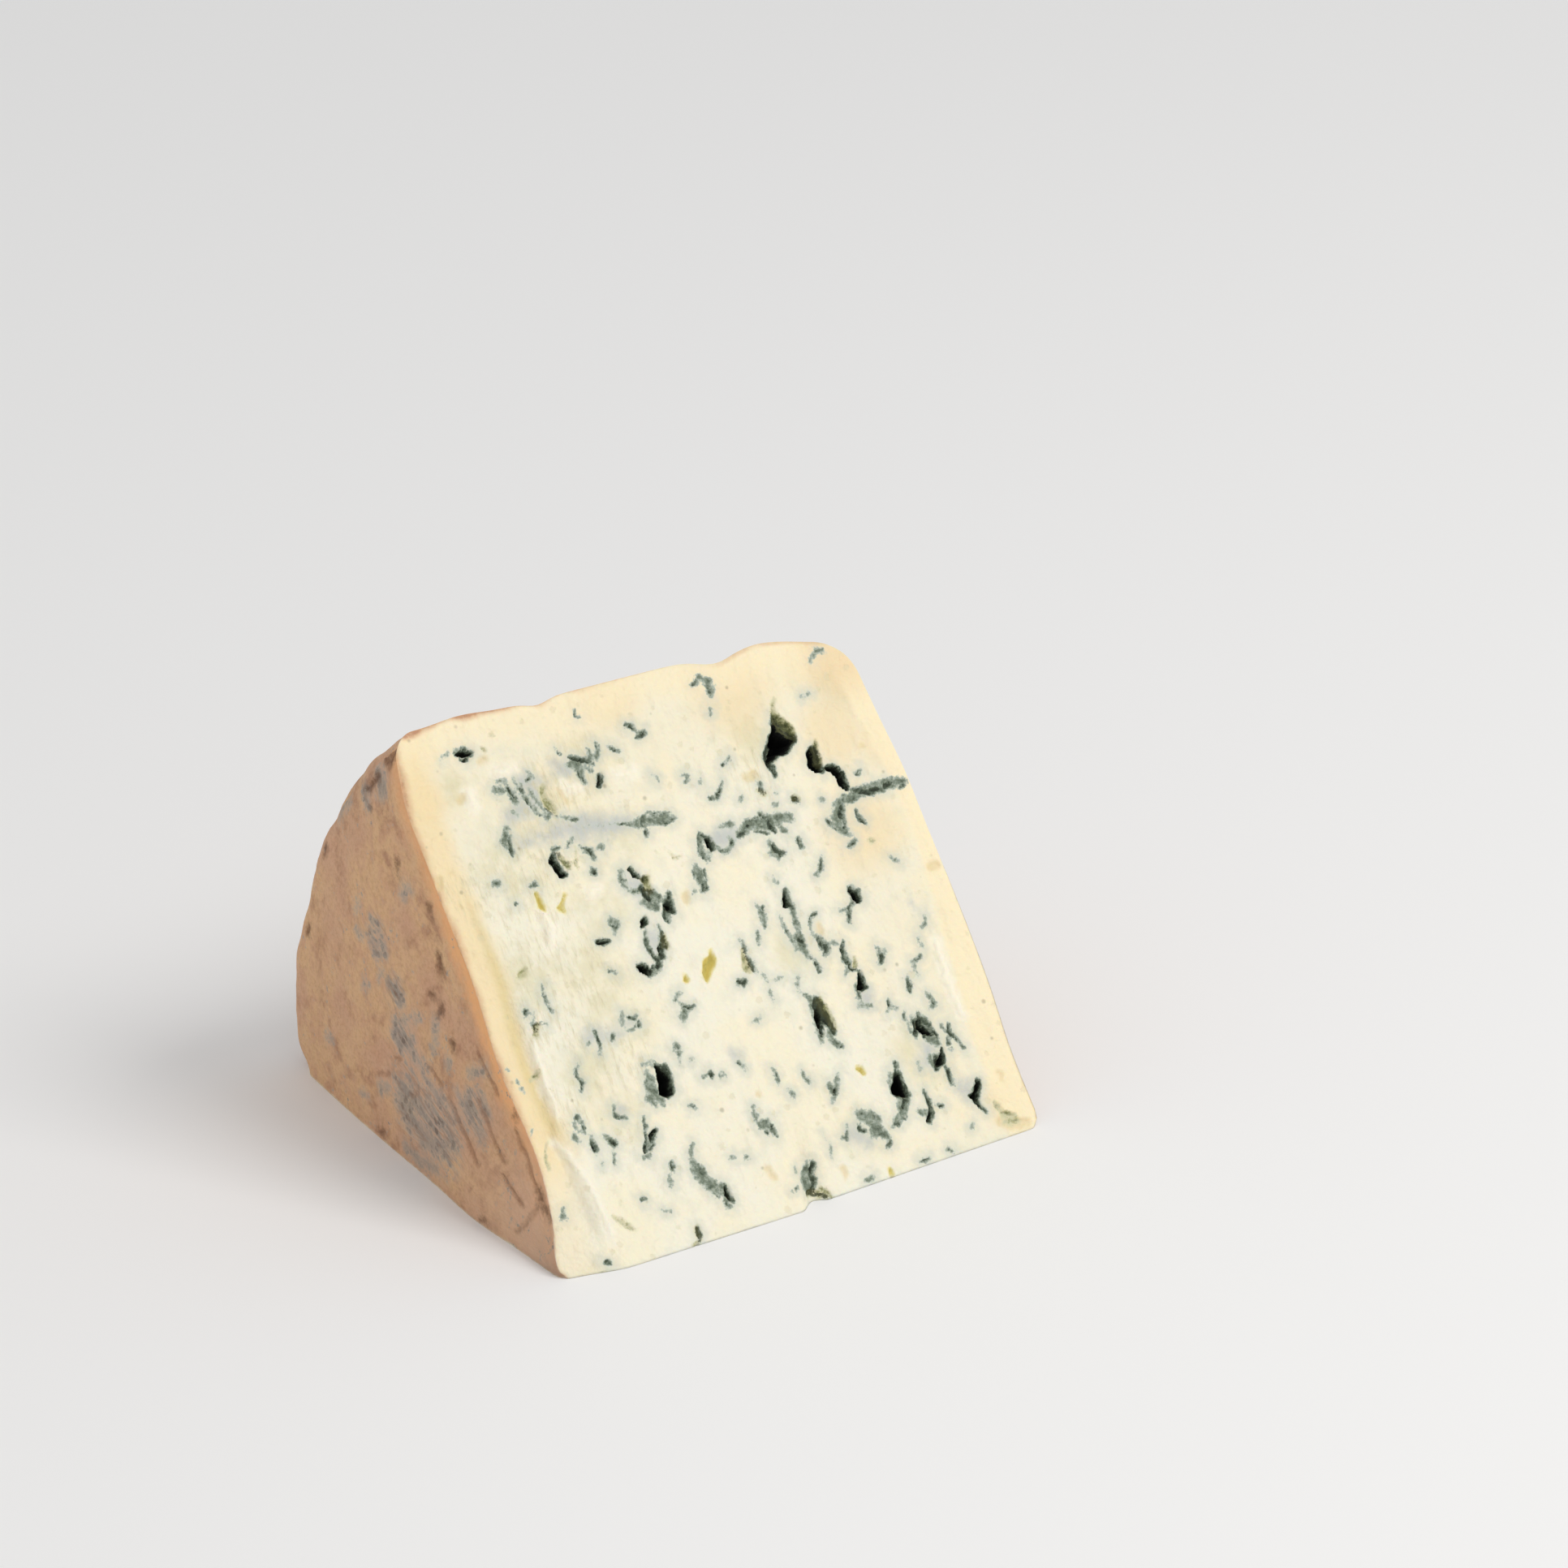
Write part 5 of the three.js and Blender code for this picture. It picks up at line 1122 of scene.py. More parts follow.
def spindle(x, radius, width, height, lean):
    """A stroke for a hole that is widest in its middle."""
    reach = max(height - width, SPINDLE_LEAST) / 2
    dx, dy = math.sin(lean) * reach, math.cos(lean) * reach
    points = ((-1, SPINDLE_END), (0, SPINDLE_MIDDLE), (1, SPINDLE_END))
    return [(x + dx * way, radius + dy * way, width * share) for way, share in points]


def ground_marks():
    random = np.random.default_rng(GROUND_SEED)
    marks = {"black": hidden_holes()}
    for name, (count, widths) in GROUND_MARKS.items():
        marks[name] = wandering(random, count, widths, *GROUND_SPAN, GROUND_LEAN)
    rims = [[(x, radius, width + GROUND_RIM) for x, radius, width in hole] for hole in marks["black"]]
    marks["grey"] = rims + marks["grey"]
    return marks


def cut_tints(places, shown):
    """Shares of the soft tints of a cut face; the ground face has the same, turned end for end."""
    if not shown:
        places = (0, WHEEL_RADIUS) - places
    tints = {"dull": DULL_PATCHES, "warm": WARM_PATCHES, "dragged": DRAGGED_PATCHES}
    return {name: patches(places, circles) for name, circles in tints.items()}


# ---- tints along the edges of a cut face ----
# Each fades out over a range of millimetres in from its edge, which strays a little.
EDGE_STRAY = 0.5
EDGE_STRAY_SIZE = 4
EDGE_SEED = 61
APEX_CRUST = 0.5
APEX_CRUST_STARTS = (14, 24)  # x
APEX_CRUST_STRAY = 1.2
APEX_CRUST_FADE = (0.1, 1.1)
LEFT_CRUST = (0.2, 0.7)  # near the tip, and farther out
LEFT_CRUST_TURN = (12, 40)  # radius
LEFT_CRUST_FADE = (-0.3, 1.8)
RIM_CRUST = (0.95, 0.1)  # on the left, and on the right
RIM_CRUST_TURN = (-22, 0)  # x
RIM_CRUST_STRAY = 1.6
RIM_CRUST_FADE_START = -0.2
RIM_CRUST_FADE_END = (1.7, 1.0)  # on the left, and on the right
BAND_STRAY = 2
RIM_BAND = 0.8
RIM_BAND_FADE = (2.0, 9.0)
RIGHT_BAND_FADE = (-1.1, 0.8)  # round its width
LEFT_BAND_FADE = (3.5, 8.5)
LEFT_BAND_SHARES = (0.4, 1)  # near the tip, and farther out
LEFT_BAND_TURN = (10, 26)  # radius
DULL_GROOVE = (5.0, 1.2)  # its middle and its width
DULL_GROOVE_STARTS = (21, 28)  # radius
DULL_GROOVE_ENDS = (56, 74)


def edge_bands(x, radius, angle):
    """Shares of crust, of the bands inside it, and of the dull groove, on a cut face."""
    from_left = x + left_half(radius, angle)
    from_right = right_half(radius, angle) - x
    from_rim = rim_radius(x, angle) - radius
    uneven = EDGE_STRAY * noise(np.stack([x, radius], axis=-1) / EDGE_STRAY_SIZE, EDGE_SEED)
    by_apex = APEX_CRUST * smoothstep(x, *APEX_CRUST_STARTS)
    on_left = lerp(*LEFT_CRUST, smoothstep(radius, *LEFT_CRUST_TURN))
    to_right = smoothstep(x, *RIM_CRUST_TURN)
    rim_crust_fade = (RIM_CRUST_FADE_START, lerp(*RIM_CRUST_FADE_END, to_right))
    crust = np.maximum.reduce([
        by_apex * fade(from_rim + APEX_CRUST_STRAY * uneven, *APEX_CRUST_FADE),
        on_left * fade(from_left + uneven, *LEFT_CRUST_FADE),
        lerp(*RIM_CRUST, to_right) * fade(from_rim + RIM_CRUST_STRAY * uneven, *rim_crust_fade),
    ])
    right_edge = np.interp(radius, *RIGHT_BAND) + uneven
    band = np.maximum(
        RIM_BAND * fade(from_rim + BAND_STRAY * uneven, *RIM_BAND_FADE),
        fade(from_right, *(right_edge + off for off in RIGHT_BAND_FADE)),
    )
    left_band = fade(from_left + BAND_STRAY * uneven, *LEFT_BAND_FADE)
    left_band *= lerp(*LEFT_BAND_SHARES, smoothstep(radius, *LEFT_BAND_TURN))
    groove = bump(from_left, *DULL_GROOVE)
    groove *= smoothstep(radius, *DULL_GROOVE_STARTS)
    groove *= fade(radius, *DULL_GROOVE_ENDS)
    return {"crust": crust, "band": band, "left_band": left_band, "groove": groove}


# ---- the rind's marks, on its three sides ----
def patches(places, circles):
    """Soft patches from 0 to 1, each with a middle and a radius."""
    share = np.zeros(len(places))
    for across, up, radius in circles:
        off = np.hypot(places[:, 0] - across, places[:, 1] - up)
        share = np.maximum(share, fade(off, PATCH_CORE * radius, PATCH_END * radius))
    return share


def seeded_rind_marks(seed, low, high, lean):
    random = np.random.default_rng(seed)
    middles = random.uniform(low, high, (RIND_PATCHES, 2))
    marks = {
        name: wandering(random, count, widths, low, high, lean)
        for name, (count, widths) in SEEDED_RIND_MARKS.items()
    }
    marks["patch"] = [(*middle, random.uniform(*RIND_PATCH_RADII)) for middle in middles]
    return marks


def rind_fields(places, marks, seed):
    """The fields of a side of the rind: millimetres inside each kind of mark, and how far it is sunk."""
    bent = warped(places, seed)
    fields = {"bloom": patches(places, marks["patch"]), "depth": 0}
    for name, depths in RIND_DEPTHS.items():
        fields[name], sunk = inside_strokes(bent, marks[name], depths)
        fields["depth"] += sunk
    return fields


# ---- relief and fields on every vertex ----
# A range is a value where something starts and where it is in full.
def vertex_normals(points, faces):
    triangles = np.array([[f[0], f[n], f[n + 1]] for f in faces for n in range(1, len(f) - 1)])
    a, b, c = (points[triangles[:, n]] for n in range(3))
    across = np.cross(b - a, c - a)
    normals = np.stack([
        sum(np.bincount(triangles[:, n], across[:, axis], len(points)) for n in range(3)) for axis in range(3)
    ], axis=-1)
    return normals / np.maximum(np.linalg.norm(normals, axis=1), TINY)[:, None]


SHARES = (
    "depth", "crust", "band", "left_band", "groove", "dull", "warm", "dragged", "bloom", "glow", "wrap",
)
LEFT_REACH = 0.7  # how far round the roundings the left and the right side reach
RIGHT_REACH = 1.2
GLOW_LEFT = (0.45, 0.55)  # along the left side's cut edge: everywhere, and more near the middle
GLOW_MIDDLE = (48, 30)  # radius, and width
GLOW_ELSEWHERE = 0.25
GLOW_STARTS = (0.4, 0.8)  # shares of the wedge's angle
PASTE_WRAP = 1.1  # the paste's colour goes this far round the edges on the right
PASTE_WRAP_STARTS = (0, 40)  # x
PASTE_WRAP_RISE = (0.3, 0.6)  # shares of the wedge's angle
EASE = (0, 3)  # millimetres in from an edge where relief sets in
WHEEL_TURN = 60  # millimetres for a radian, in the places that streaks follow
LUMP_HEIGHT = 0.30
LUMP_SIZE = 9.0
LUMP_SEED = 70
RELIEF_LAYERS = 3
EDGE_WEAR = 0.35
EDGE_WEAR_REACH = 0.5
DRAG_HEIGHT = 0.10
DRAG_SIZE = (1.2, 7.0)
DRAG_SEED = 90
SAG_HEIGHT = 0.14
SAG_SIZE = 6.0
SAG_SEED = 92
LEDGE_HEIGHT = 0.5
LEDGE_RISE = (-0.6, 0.8)  # x from the ledge's line
LEDGE_FALL = (1.4, 6)
LEDGE_STARTS = (2, 8)  # radius
LEDGE_ENDS = (36, 48)
LIFT_EASE = (0, 2)
TIP_INWARD = np.array([0.0, 1.0, 0.0])
INWARD_TURN = (2, 10)  # radius where inward turns from level to square to the cut


def fill(fields, where, values):
    for name, part in values.items():
        fields[name][where] = part


def add_edge_fields(fields, x, radius, angle, rind, on_left):
    """Adds what the material needs to know about the edges between the cut faces and the rind."""
    turn = angle / WEDGE_ANGLE
    least, more = GLOW_LEFT
    along_cut = least + more * bump(radius, *GLOW_MIDDLE)
    fields["glow"] = np.where(on_left, along_cut, GLOW_ELSEWHERE) * smoothstep(turn, *GLOW_STARTS)
    fields["wrap"] = PASTE_WRAP * smoothstep(x, *PASTE_WRAP_STARTS) * smoothstep(turn, *PASTE_WRAP_RISE)
    fields["wheel"] = np.stack([x, radius, angle * WHEEL_TURN], axis=-1)
    inset = np.minimum(x + left_half(radius, angle), right_half(radius, angle) - x)
    inset = np.minimum(inset, rim_radius(x, angle) - radius)
    to_cut = radius * np.minimum(np.sin(angle), np.sin(WEDGE_ANGLE - angle))
    fields["inset"] = np.where(rind, -np.maximum(to_cut, 0), np.maximum(inset, 0))


def finish_form(plain, faces):
    """Final points of the wedge and the fields that its material reads."""
    x, radius = on_wedge(plain)
    angle, plain_x = plain[:, 1], plain[:, 2]
    points = place(plain)
    normals = vertex_normals(points, faces)
    is_shown, is_ground = on_cuts(plain)
    is_ground = is_ground & ~is_shown
    rind = ~is_shown & ~is_ground
    on_left = rind & (plain_x < -LEFT_TIP_HALF + LEFT_REACH)
    on_right = rind & (plain_x > LEFT_TIP_HALF - RIGHT_REACH)
    on_rim = rind & ~on_left & ~on_right

    fields = {name: np.full(len(plain), FAR_OUTSIDE) for name in (*SHOWN_MARKS, *RIND_DEPTHS)}
    fields.update({name: np.zeros(len(plain)) for name in SHARES})
    cut_places = np.stack([x, radius], axis=-1)
    for side, where, marks in (("shown", is_shown, SHOWN_MARKS), ("ground", is_ground, ground_marks())):
        fill(fields, where, cut_marks(cut_places[where], marks, SIDE_SEEDS[side]))
        fill(fields, where, cut_tints(cut_places[where], side == "shown"))
    fill(fields, ~rind, edge_bands(x[~rind], radius[~rind], angle[~rind]))
    side_places = points[:, 1:]
    rim_places = np.stack([x, radius * angle], axis=-1)
    for side, where, places, marks in (
        ("left", on_left, side_places, LEFT_RIND_MARKS),
        ("right", on_right, side_places, seeded_rind_marks(*RIGHT_RIND)),
        ("rim", on_rim, rim_places, seeded_rind_marks(*RIM_RIND)),
    ):
        fill(fields, where, rind_fields(places[where], marks, SIDE_SEEDS[side]))

    add_edge_fields(fields, x, radius, angle, rind, on_left)

    move_shown_cut(points, fields, is_shown, x, radius)
    rise = (fields["depth"] * smoothstep(fields["inset"], *EASE))[is_ground]
    points[is_ground, 2] += np.maximum(rise, 0)
    lumps = LUMP_HEIGHT * layered(points / LUMP_SIZE, RELIEF_LAYERS, LUMP_SEED) - fields["depth"]
    away = smoothstep(-fields["inset"], *EASE)
    points[rind] += normals[rind] * (lumps * away)[rind, None]
    points[:, 2] = np.maximum(points[:, 2], 0)
    return points, fields


def move_shown_cut(points, fields, is_shown, x, radius):
    """Sinks the marks of the cut that shows, and raises its dragged paste and its ledge."""
    inset = fields["inset"]
    cut_places = np.stack([x, radius], axis=-1)
    sunk = fields["depth"] + EDGE_WEAR * np.exp(-inset / EDGE_WEAR_REACH)
    drag = DRAG_HEIGHT * noise(cut_places / DRAG_SIZE, DRAG_SEED)
    drag += SAG_HEIGHT * layered(cut_places / SAG_SIZE, RELIEF_LAYERS, SAG_SEED)
    from_ledge = x - np.interp(radius, *LEDGE)
    ledge = LEDGE_HEIGHT * smoothstep(from_ledge, *LEDGE_RISE) * fade(from_ledge, *LEDGE_FALL)
    ledge *= smoothstep(radius, *LEDGE_STARTS) * fade(radius, *LEDGE_ENDS)
    lift = (drag + ledge) * off_tip(radius) * smoothstep(inset, *LIFT_EASE)
    inward = lerp(TIP_INWARD, -FACE_OUT, smoothstep(radius, *INWARD_TURN)[:, None])
    move = inward * sunk[:, None] + FACE_OUT * lift[:, None]
    points[is_shown] += move[is_shown]


# ---- materials ----
STRAY_ROUGHNESS = 0.6
STRAY_SPREAD = 3  # noise keeps to about a third of its range
SPECK_EDGE = (-0.06, 0.08)  # shares of the speck's cell
SPECK_CHOICE = 0.02


class Shading:
    """Short names for the nodes of one material."""

    def __init__(self, name):
        self.material = bpy.data.materials.new(name)
        self.material.use_nodes = True
        self.tree = self.material.node_tree
        self.surface = self.tree.nodes["Principled BSDF"]

    def node(self, kind, **settings):
        made = self.tree.nodes.new(kind)
        for key, value in settings.items():
            setattr(made, key, value)
        return made

    def feed(self, socket, value):
        if isinstance(value, bpy.types.NodeSocket):
            self.tree.links.new(value, socket)
        else:
            socket.default_value = value

    def field(self, name, vector=False):
        made = self.node("ShaderNodeAttribute", attribute_name=name)
        return made.outputs["Vector" if vector else "Fac"]

    def wheel(self):
        """A place's x, radius and turn round the wheel, all in millimetres."""
        return self.field("wheel", vector=True)

    def outward(self):
        """x and radius, each as a value."""
        made = self.node("ShaderNodeSeparateXYZ")
        self.feed(made.inputs[0], self.wheel())
        return made.outputs["X"], made.outputs["Y"]

    def math(self, operation, a, b=0.0):
        made = self.node("ShaderNodeMath", operation=operation)
        self.feed(made.inputs[0], a)
        self.feed(made.inputs[1], b)
        return made.outputs[0]

    def add(self, *values):
        total = values[0]
        for value in values[1:]:
            total = self.math("ADD", total, value)
        return total

    def less(self, a, b):
        return self.math("SUBTRACT", a, b)

    def times(self, a, b):
        return self.math("MULTIPLY", a, b)

    def ramp(self, value, low, high, start=0.0, end=1.0):
        made = self.node("ShaderNodeMapRange", interpolation_type="SMOOTHSTEP")
        self.feed(made.inputs["Value"], value)
        self.feed(made.inputs["From Min"], low)
        self.feed(made.inputs["From Max"], high)
        self.feed(made.inputs["To Min"], start)
        self.feed(made.inputs["To Max"], end)
        return made.outputs["Result"]

    def mix(self, share, a, b, blend="MIX"):
        made = self.node("ShaderNodeMix", data_type="RGBA", blend_type=blend)
        self.feed(made.inputs["Factor"], share)
        self.feed(made.inputs["A"], a)
        self.feed(made.inputs["B"], b)
        return made.outputs["Result"]

    def mix_vectors(self, share, a, b):
        made = self.node("ShaderNodeMix", data_type="VECTOR")
        self.feed(made.inputs["Factor"], share)
        self.feed(made.inputs[4], a)  # inputs 4 and 5 and output 1 are the vectors' own
        self.feed(made.inputs[5], b)
        return made.outputs[1]

    def layers(self, colour, *layers):
        """A colour under layers: each is its share, its colour and maybe its blend."""
        for share, over, *blend in layers:
            colour = self.mix(share, colour, over, *blend)
        return colour

    def highest(self, *values):
        top = values[0]
        for value in values[1:]:
            top = self.math("MAXIMUM", top, value)
        return top

    def tones(self, value, *stops):
        """Colours that follow a value: each stop is a value and its colour."""
        made = self.node("ShaderNodeValToRGB")
        elements = made.color_ramp.elements
        for element, (at, colour) in zip((elements[0], elements[-1]), (stops[0], stops[-1])):
            element.position = at
            element.color = colour
        for at, colour in stops[1:-1]:
            elements.new(at).color = colour
        self.feed(made.inputs["Fac"], value)
        return made.outputs["Color"]

    def specks(self, vector, apart_mm, chosen, reach_mm):
        """Round specks, in a chosen share of cells that are so far apart."""
        made = self.node("ShaderNodeTexVoronoi")
        self.feed(made.inputs["Vector"], vector)
        made.inputs["Scale"].default_value = 1 / apart_mm
        parts = self.node("ShaderNodeSeparateColor")
        self.feed(parts.inputs[0], made.outputs["Color"])
        reach = self.times(parts.outputs["Green"], reach_mm / apart_mm)
        near = self.ramp(self.less(reach, made.outputs["Distance"]), *SPECK_EDGE)
        return self.times(near, self.ramp(parts.outputs["Red"], chosen, chosen - SPECK_CHOICE))

    def mottle(self, thick, noise, contrast, full):
        """What makes mould uneven where it is middling, and not where it is thin or thick."""
        middling = self.times(thick, self.less(full, thick))
        return self.times(self.times(self.less(noise, 0.5), contrast), middling)

    def scaled(self, vector, scale):
        made = self.node("ShaderNodeMapping")
        self.feed(made.inputs["Vector"], vector)
        made.inputs["Scale"].default_value = scale
        return made.outputs["Vector"]

    def noise(self, vector, size_mm, detail=2.0, roughness=0.5, output="Fac"):
        made = self.node("ShaderNodeTexNoise")
        self.feed(made.inputs["Vector"], vector)
        made.inputs["Scale"].default_value = 1 / size_mm
        made.inputs["Detail"].default_value = detail
        made.inputs["Roughness"].default_value = roughness
        return made.outputs[output]

    def stray(self, vector, size_mm, reach_mm, detail=2.0):
        """Noise round 0 that reaches about so many millimetres either way."""
        around = self.less(self.noise(vector, size_mm, detail, STRAY_ROUGHNESS), 0.5)
        return self.times(around, reach_mm * STRAY_SPREAD)

    def moved(self, vector, size_mm):
        """The vector moved by noise of this size, by up to a millimetre."""
        made = self.node("ShaderNodeVectorMath", operation="ADD")
        self.feed(made.inputs[0], vector)
        self.feed(made.inputs[1], self.noise(vector, size_mm, output="Color"))
        return made.outputs["Vector"]

    def surface_is(self, **values):
        """Sets the surface's sockets, each named with _ for a space."""
        for name, value in values.items():
            self.feed(self.surface.inputs[name.replace("_", " ")], value)

    def bump(self, height, distance_mm, normal=None):
        made = self.node("ShaderNodeBump")
        made.inputs["Strength"].default_value = 1.0
        made.inputs["Distance"].default_value = distance_mm * MM
        self.feed(made.inputs["Height"], height)
        if normal is not None:
            self.feed(made.inputs["Normal"], normal)
        return made.outputs["Normal"]


def srgb(red, green, blue):
    """A colour from 0 to 255 as the eye sees it, as linear light."""
    parts = [c / 255 for c in (red, green, blue)]
    return (*(c / 12.92 if c <= 0.04045 else ((c + 0.055) / 1.055) ** 2.4 for c in parts), 1.0)


PASTE = srgb(246, 241, 221)
PASTE_WARM = srgb(250, 240, 212)
PASTE_COOL = srgb(230, 230, 211)
# painted highlight on the raised ridges of paste
PASTE_HIGHLIGHT = srgb(255, 246, 226)
PASTE_DULL = srgb(228, 222, 190)
PASTE_CORNER = srgb(245, 240, 232)
PASTE_AGED = srgb(253, 250, 243)
PASTE_PEACH = srgb(244, 226, 188)
PIT = srgb(218, 211, 176)
DRAG_LINE = srgb(212, 203, 164)
BAND = srgb(255, 237, 200)
LEFT_BAND = srgb(246, 224, 178)
GROOVE = srgb(232, 213, 160)
CRUST = srgb(222, 184, 144)
CRUST_DARK = srgb(190, 138, 108)
LILAC = srgb(193, 198, 196)
TINT = srgb(206, 211, 198)
MOULD_TONES = (
    (0.05, srgb(214, 219, 206)),
    (0.22, srgb(182, 190, 176)),
    (0.42, srgb(132, 143, 126)),
    (0.62, srgb(82, 93, 76)),
    (0.84, srgb(37, 43, 31)),
    (1.0, srgb(9, 11, 7)),
)
# lit and shaded tones of the olive walls: painted light and shade
OLIVE_WALL_LIGHT_AND_SHADE = (
    (0.2, srgb(54, 58, 30)),
    (0.36, srgb(104, 108, 66)),
    (0.52, srgb(172, 172, 126)),
    (0.68, srgb(218, 214, 178)),
)
OLIVE_SHADE = srgb(82, 84, 54)
SPECK = srgb(150, 146, 116)
# painted shade in the yellow holes
YELLOW_HOLE_SHADE = srgb(192, 180, 100)
YELLOW_HOLE = srgb(222, 206, 122)
YELLOW_RIM = srgb(238, 226, 160)
TAN_SPOT = srgb(232, 213, 164)
RIND_TAN = srgb(221, 177, 143)
RIND_OCHRE = srgb(228, 186, 143)
RIND_PINK = srgb(212, 163, 134)
RIND_BRUISE = srgb(188, 142, 112)
# painted light: the rind lighter near the tip
RIND_TIP_PAINTED_LIGHT = srgb(240, 200, 168)
RIND_ORANGE = srgb(255, 190, 132)
RIND_SHADE = srgb(230, 222, 214)
RIND_BROWN = srgb(120, 86, 62)
RIND_LINE = srgb(158, 114, 86)
RIND_MOULD_TONES = (
    (0.1, srgb(206, 183, 160)),
    (0.4, srgb(186, 175, 162)),
    (0.7, srgb(160, 152, 142)),
    (1.0, srgb(116, 108, 100)),
)


# Sizes, reaches and heights are in millimetres. The four numbers of a ramp are where its value starts
# and ends, and the share at each. The field of a kind of mark is how far inside the mark a place is.
DRAG_STRETCH = (1.2, 0.3, 1.0)
LEATHER_STRETCH = (1.0, 0.55, 1.0)
STREAK_STRETCH = (0.45, 0.2, 0.7)
DRIP_STRETCH = (0.3, 0.1, 0.55)
GRAIN_SIZE = 0.8
GRAIN_HEIGHT = 0.15
SOFT_SIZE = 3.2
SOFT_HEIGHT = 0.5
LEATHER_SIZE = 1.5
LEATHER_HEIGHT = 0.7
PASTE_ROUGHNESS = 0.5
RIND_ROUGHNESS = 0.85
MOULD_ROUGHNESS = 0.8
SHINE = 0.3
SCATTERING = 0.35
SCATTER_COLOURS = (1.0, 0.7, 0.4)
SCATTER_REACH = 1.0


def cheese_material():
    s = Shading("cheese")
    mm = s.scaled(s.node("ShaderNodeTexCoord").outputs["Object"], (1 / MM,) * 3)
    along = s.noise(s.scaled(s.wheel(), DRAG_STRETCH), 1.0, 3, 0.6)
    lines = s.times(s.ramp(along, 0.46, 0.72), s.field("dragged"))
    pits = s.specks(s.moved(mm, 0.6), 2.4, 0.45, 0.75)
    colour, mouldy = marked_colour(s, mm, paste_colour(s, mm, lines, pits))
    edge = s.add(s.field("inset"), s.field("wrap"), s.stray(mm, 1.4, 0.25))
    on_rind = s.ramp(edge, 0.35, -0.45)

    grain = s.less(s.noise(mm, GRAIN_SIZE, 3, 0.6), s.add(s.times(lines, 0.5), s.times(pits, 0.3)))
    soft_bump = s.bump(s.noise(mm, SOFT_SIZE, 2), SOFT_HEIGHT)
    paste_bump = s.bump(grain, GRAIN_HEIGHT, soft_bump)
    leather = s.noise(s.scaled(s.wheel(), LEATHER_STRETCH), LEATHER_SIZE, 4, 0.65)
    dry = s.ramp(on_rind, 0, 1, PASTE_ROUGHNESS, RIND_ROUGHNESS)
    s.surface_is(
        Base_Color=s.mix(on_rind, colour, rind_colour(s, mm)),
        Normal=s.mix_vectors(on_rind, paste_bump, s.bump(leather, LEATHER_HEIGHT)),
        Roughness=s.highest(dry, s.ramp(mouldy, 0, 0.5, 0, MOULD_ROUGHNESS)),
        Specular_IOR_Level=SHINE,
        Subsurface_Weight=SCATTERING,
        Subsurface_Radius=SCATTER_COLOURS,
        Subsurface_Scale=SCATTER_REACH * MM,
    )
    return s.material


def paste_colour(s, mm, lines, pits):
    """The paste without its marks: warm and dull clouds, edge tints, drag lines, pits and crust."""
    x, radius = s.outward()
    dull = s.times(s.field("dull"), s.ramp(s.noise(mm, 5, 3, 0.6), 0.36, 0.6, 0.2, 0.8))
    aged = s.highest(s.ramp(radius, 62, 90), s.ramp(x, 16, 40, 0, 0.8))
    near = s.highest(s.field("grey"), s.field("dark"), s.field("black"))
    near = s.add(near, s.stray(mm, 1.5, 0.9, 3))
    pale = s.add(s.field("pale"), s.add(s.stray(mm, 2.4, 1.2, 3), s.stray(mm, 0.7, 0.4, 3)))
    corner = s.times(s.ramp(radius, 82, 91), s.ramp(x, 34, 43))
    ridge = s.add(s.field("highlight"), s.stray(mm, 1.6, 0.5))
    crust = s.add(s.field("crust"), s.times(s.stray(mm, 1.2, 0.25, 3), s.field("crust")))
    dark_crust = s.ramp(s.add(crust, s.stray(mm, 3.0, 0.2)), 0.6, 0.95, 0, 0.8)
    return s.layers(
        PASTE,
        (s.ramp(s.noise(mm, 15, 2), 0.4, 0.64, 0, 0.8), PASTE_WARM),
        (s.ramp(s.noise(mm, 4, 3), 0.5, 0.75, 0, 0.45), PASTE_COOL),
        (dull, PASTE_DULL),
        (s.times(s.field("warm"), 0.7), PASTE_PEACH),
        (aged, PASTE_AGED, "MULTIPLY"),
        (s.ramp(near, -2.3, 0.0, 0, 0.5), TINT),
        (s.ramp(pale, -2.4, 1.6, 0, 0.8), LILAC),
        (s.times(s.field("left_band"), 0.85), LEFT_BAND),
        (s.times(s.field("band"), 0.85), BAND),
        (corner, PASTE_CORNER, "MULTIPLY"),
        (s.times(s.field("groove"), 0.9), GROOVE),
        # painted highlights on the raised ridges
        (s.ramp(ridge, -1.3, 0.6, 0, 0.8), PASTE_HIGHLIGHT),
        (s.times(pits, 0.35), PIT),
        (s.times(lines, 0.45), DRAG_LINE),
        (s.times(s.specks(mm, 3.4, 0.35, 0.5), 0.5), SPECK),
        (s.ramp(crust, 0.0, 1.0), s.mix(dark_crust, CRUST, CRUST_DARK)),
    )


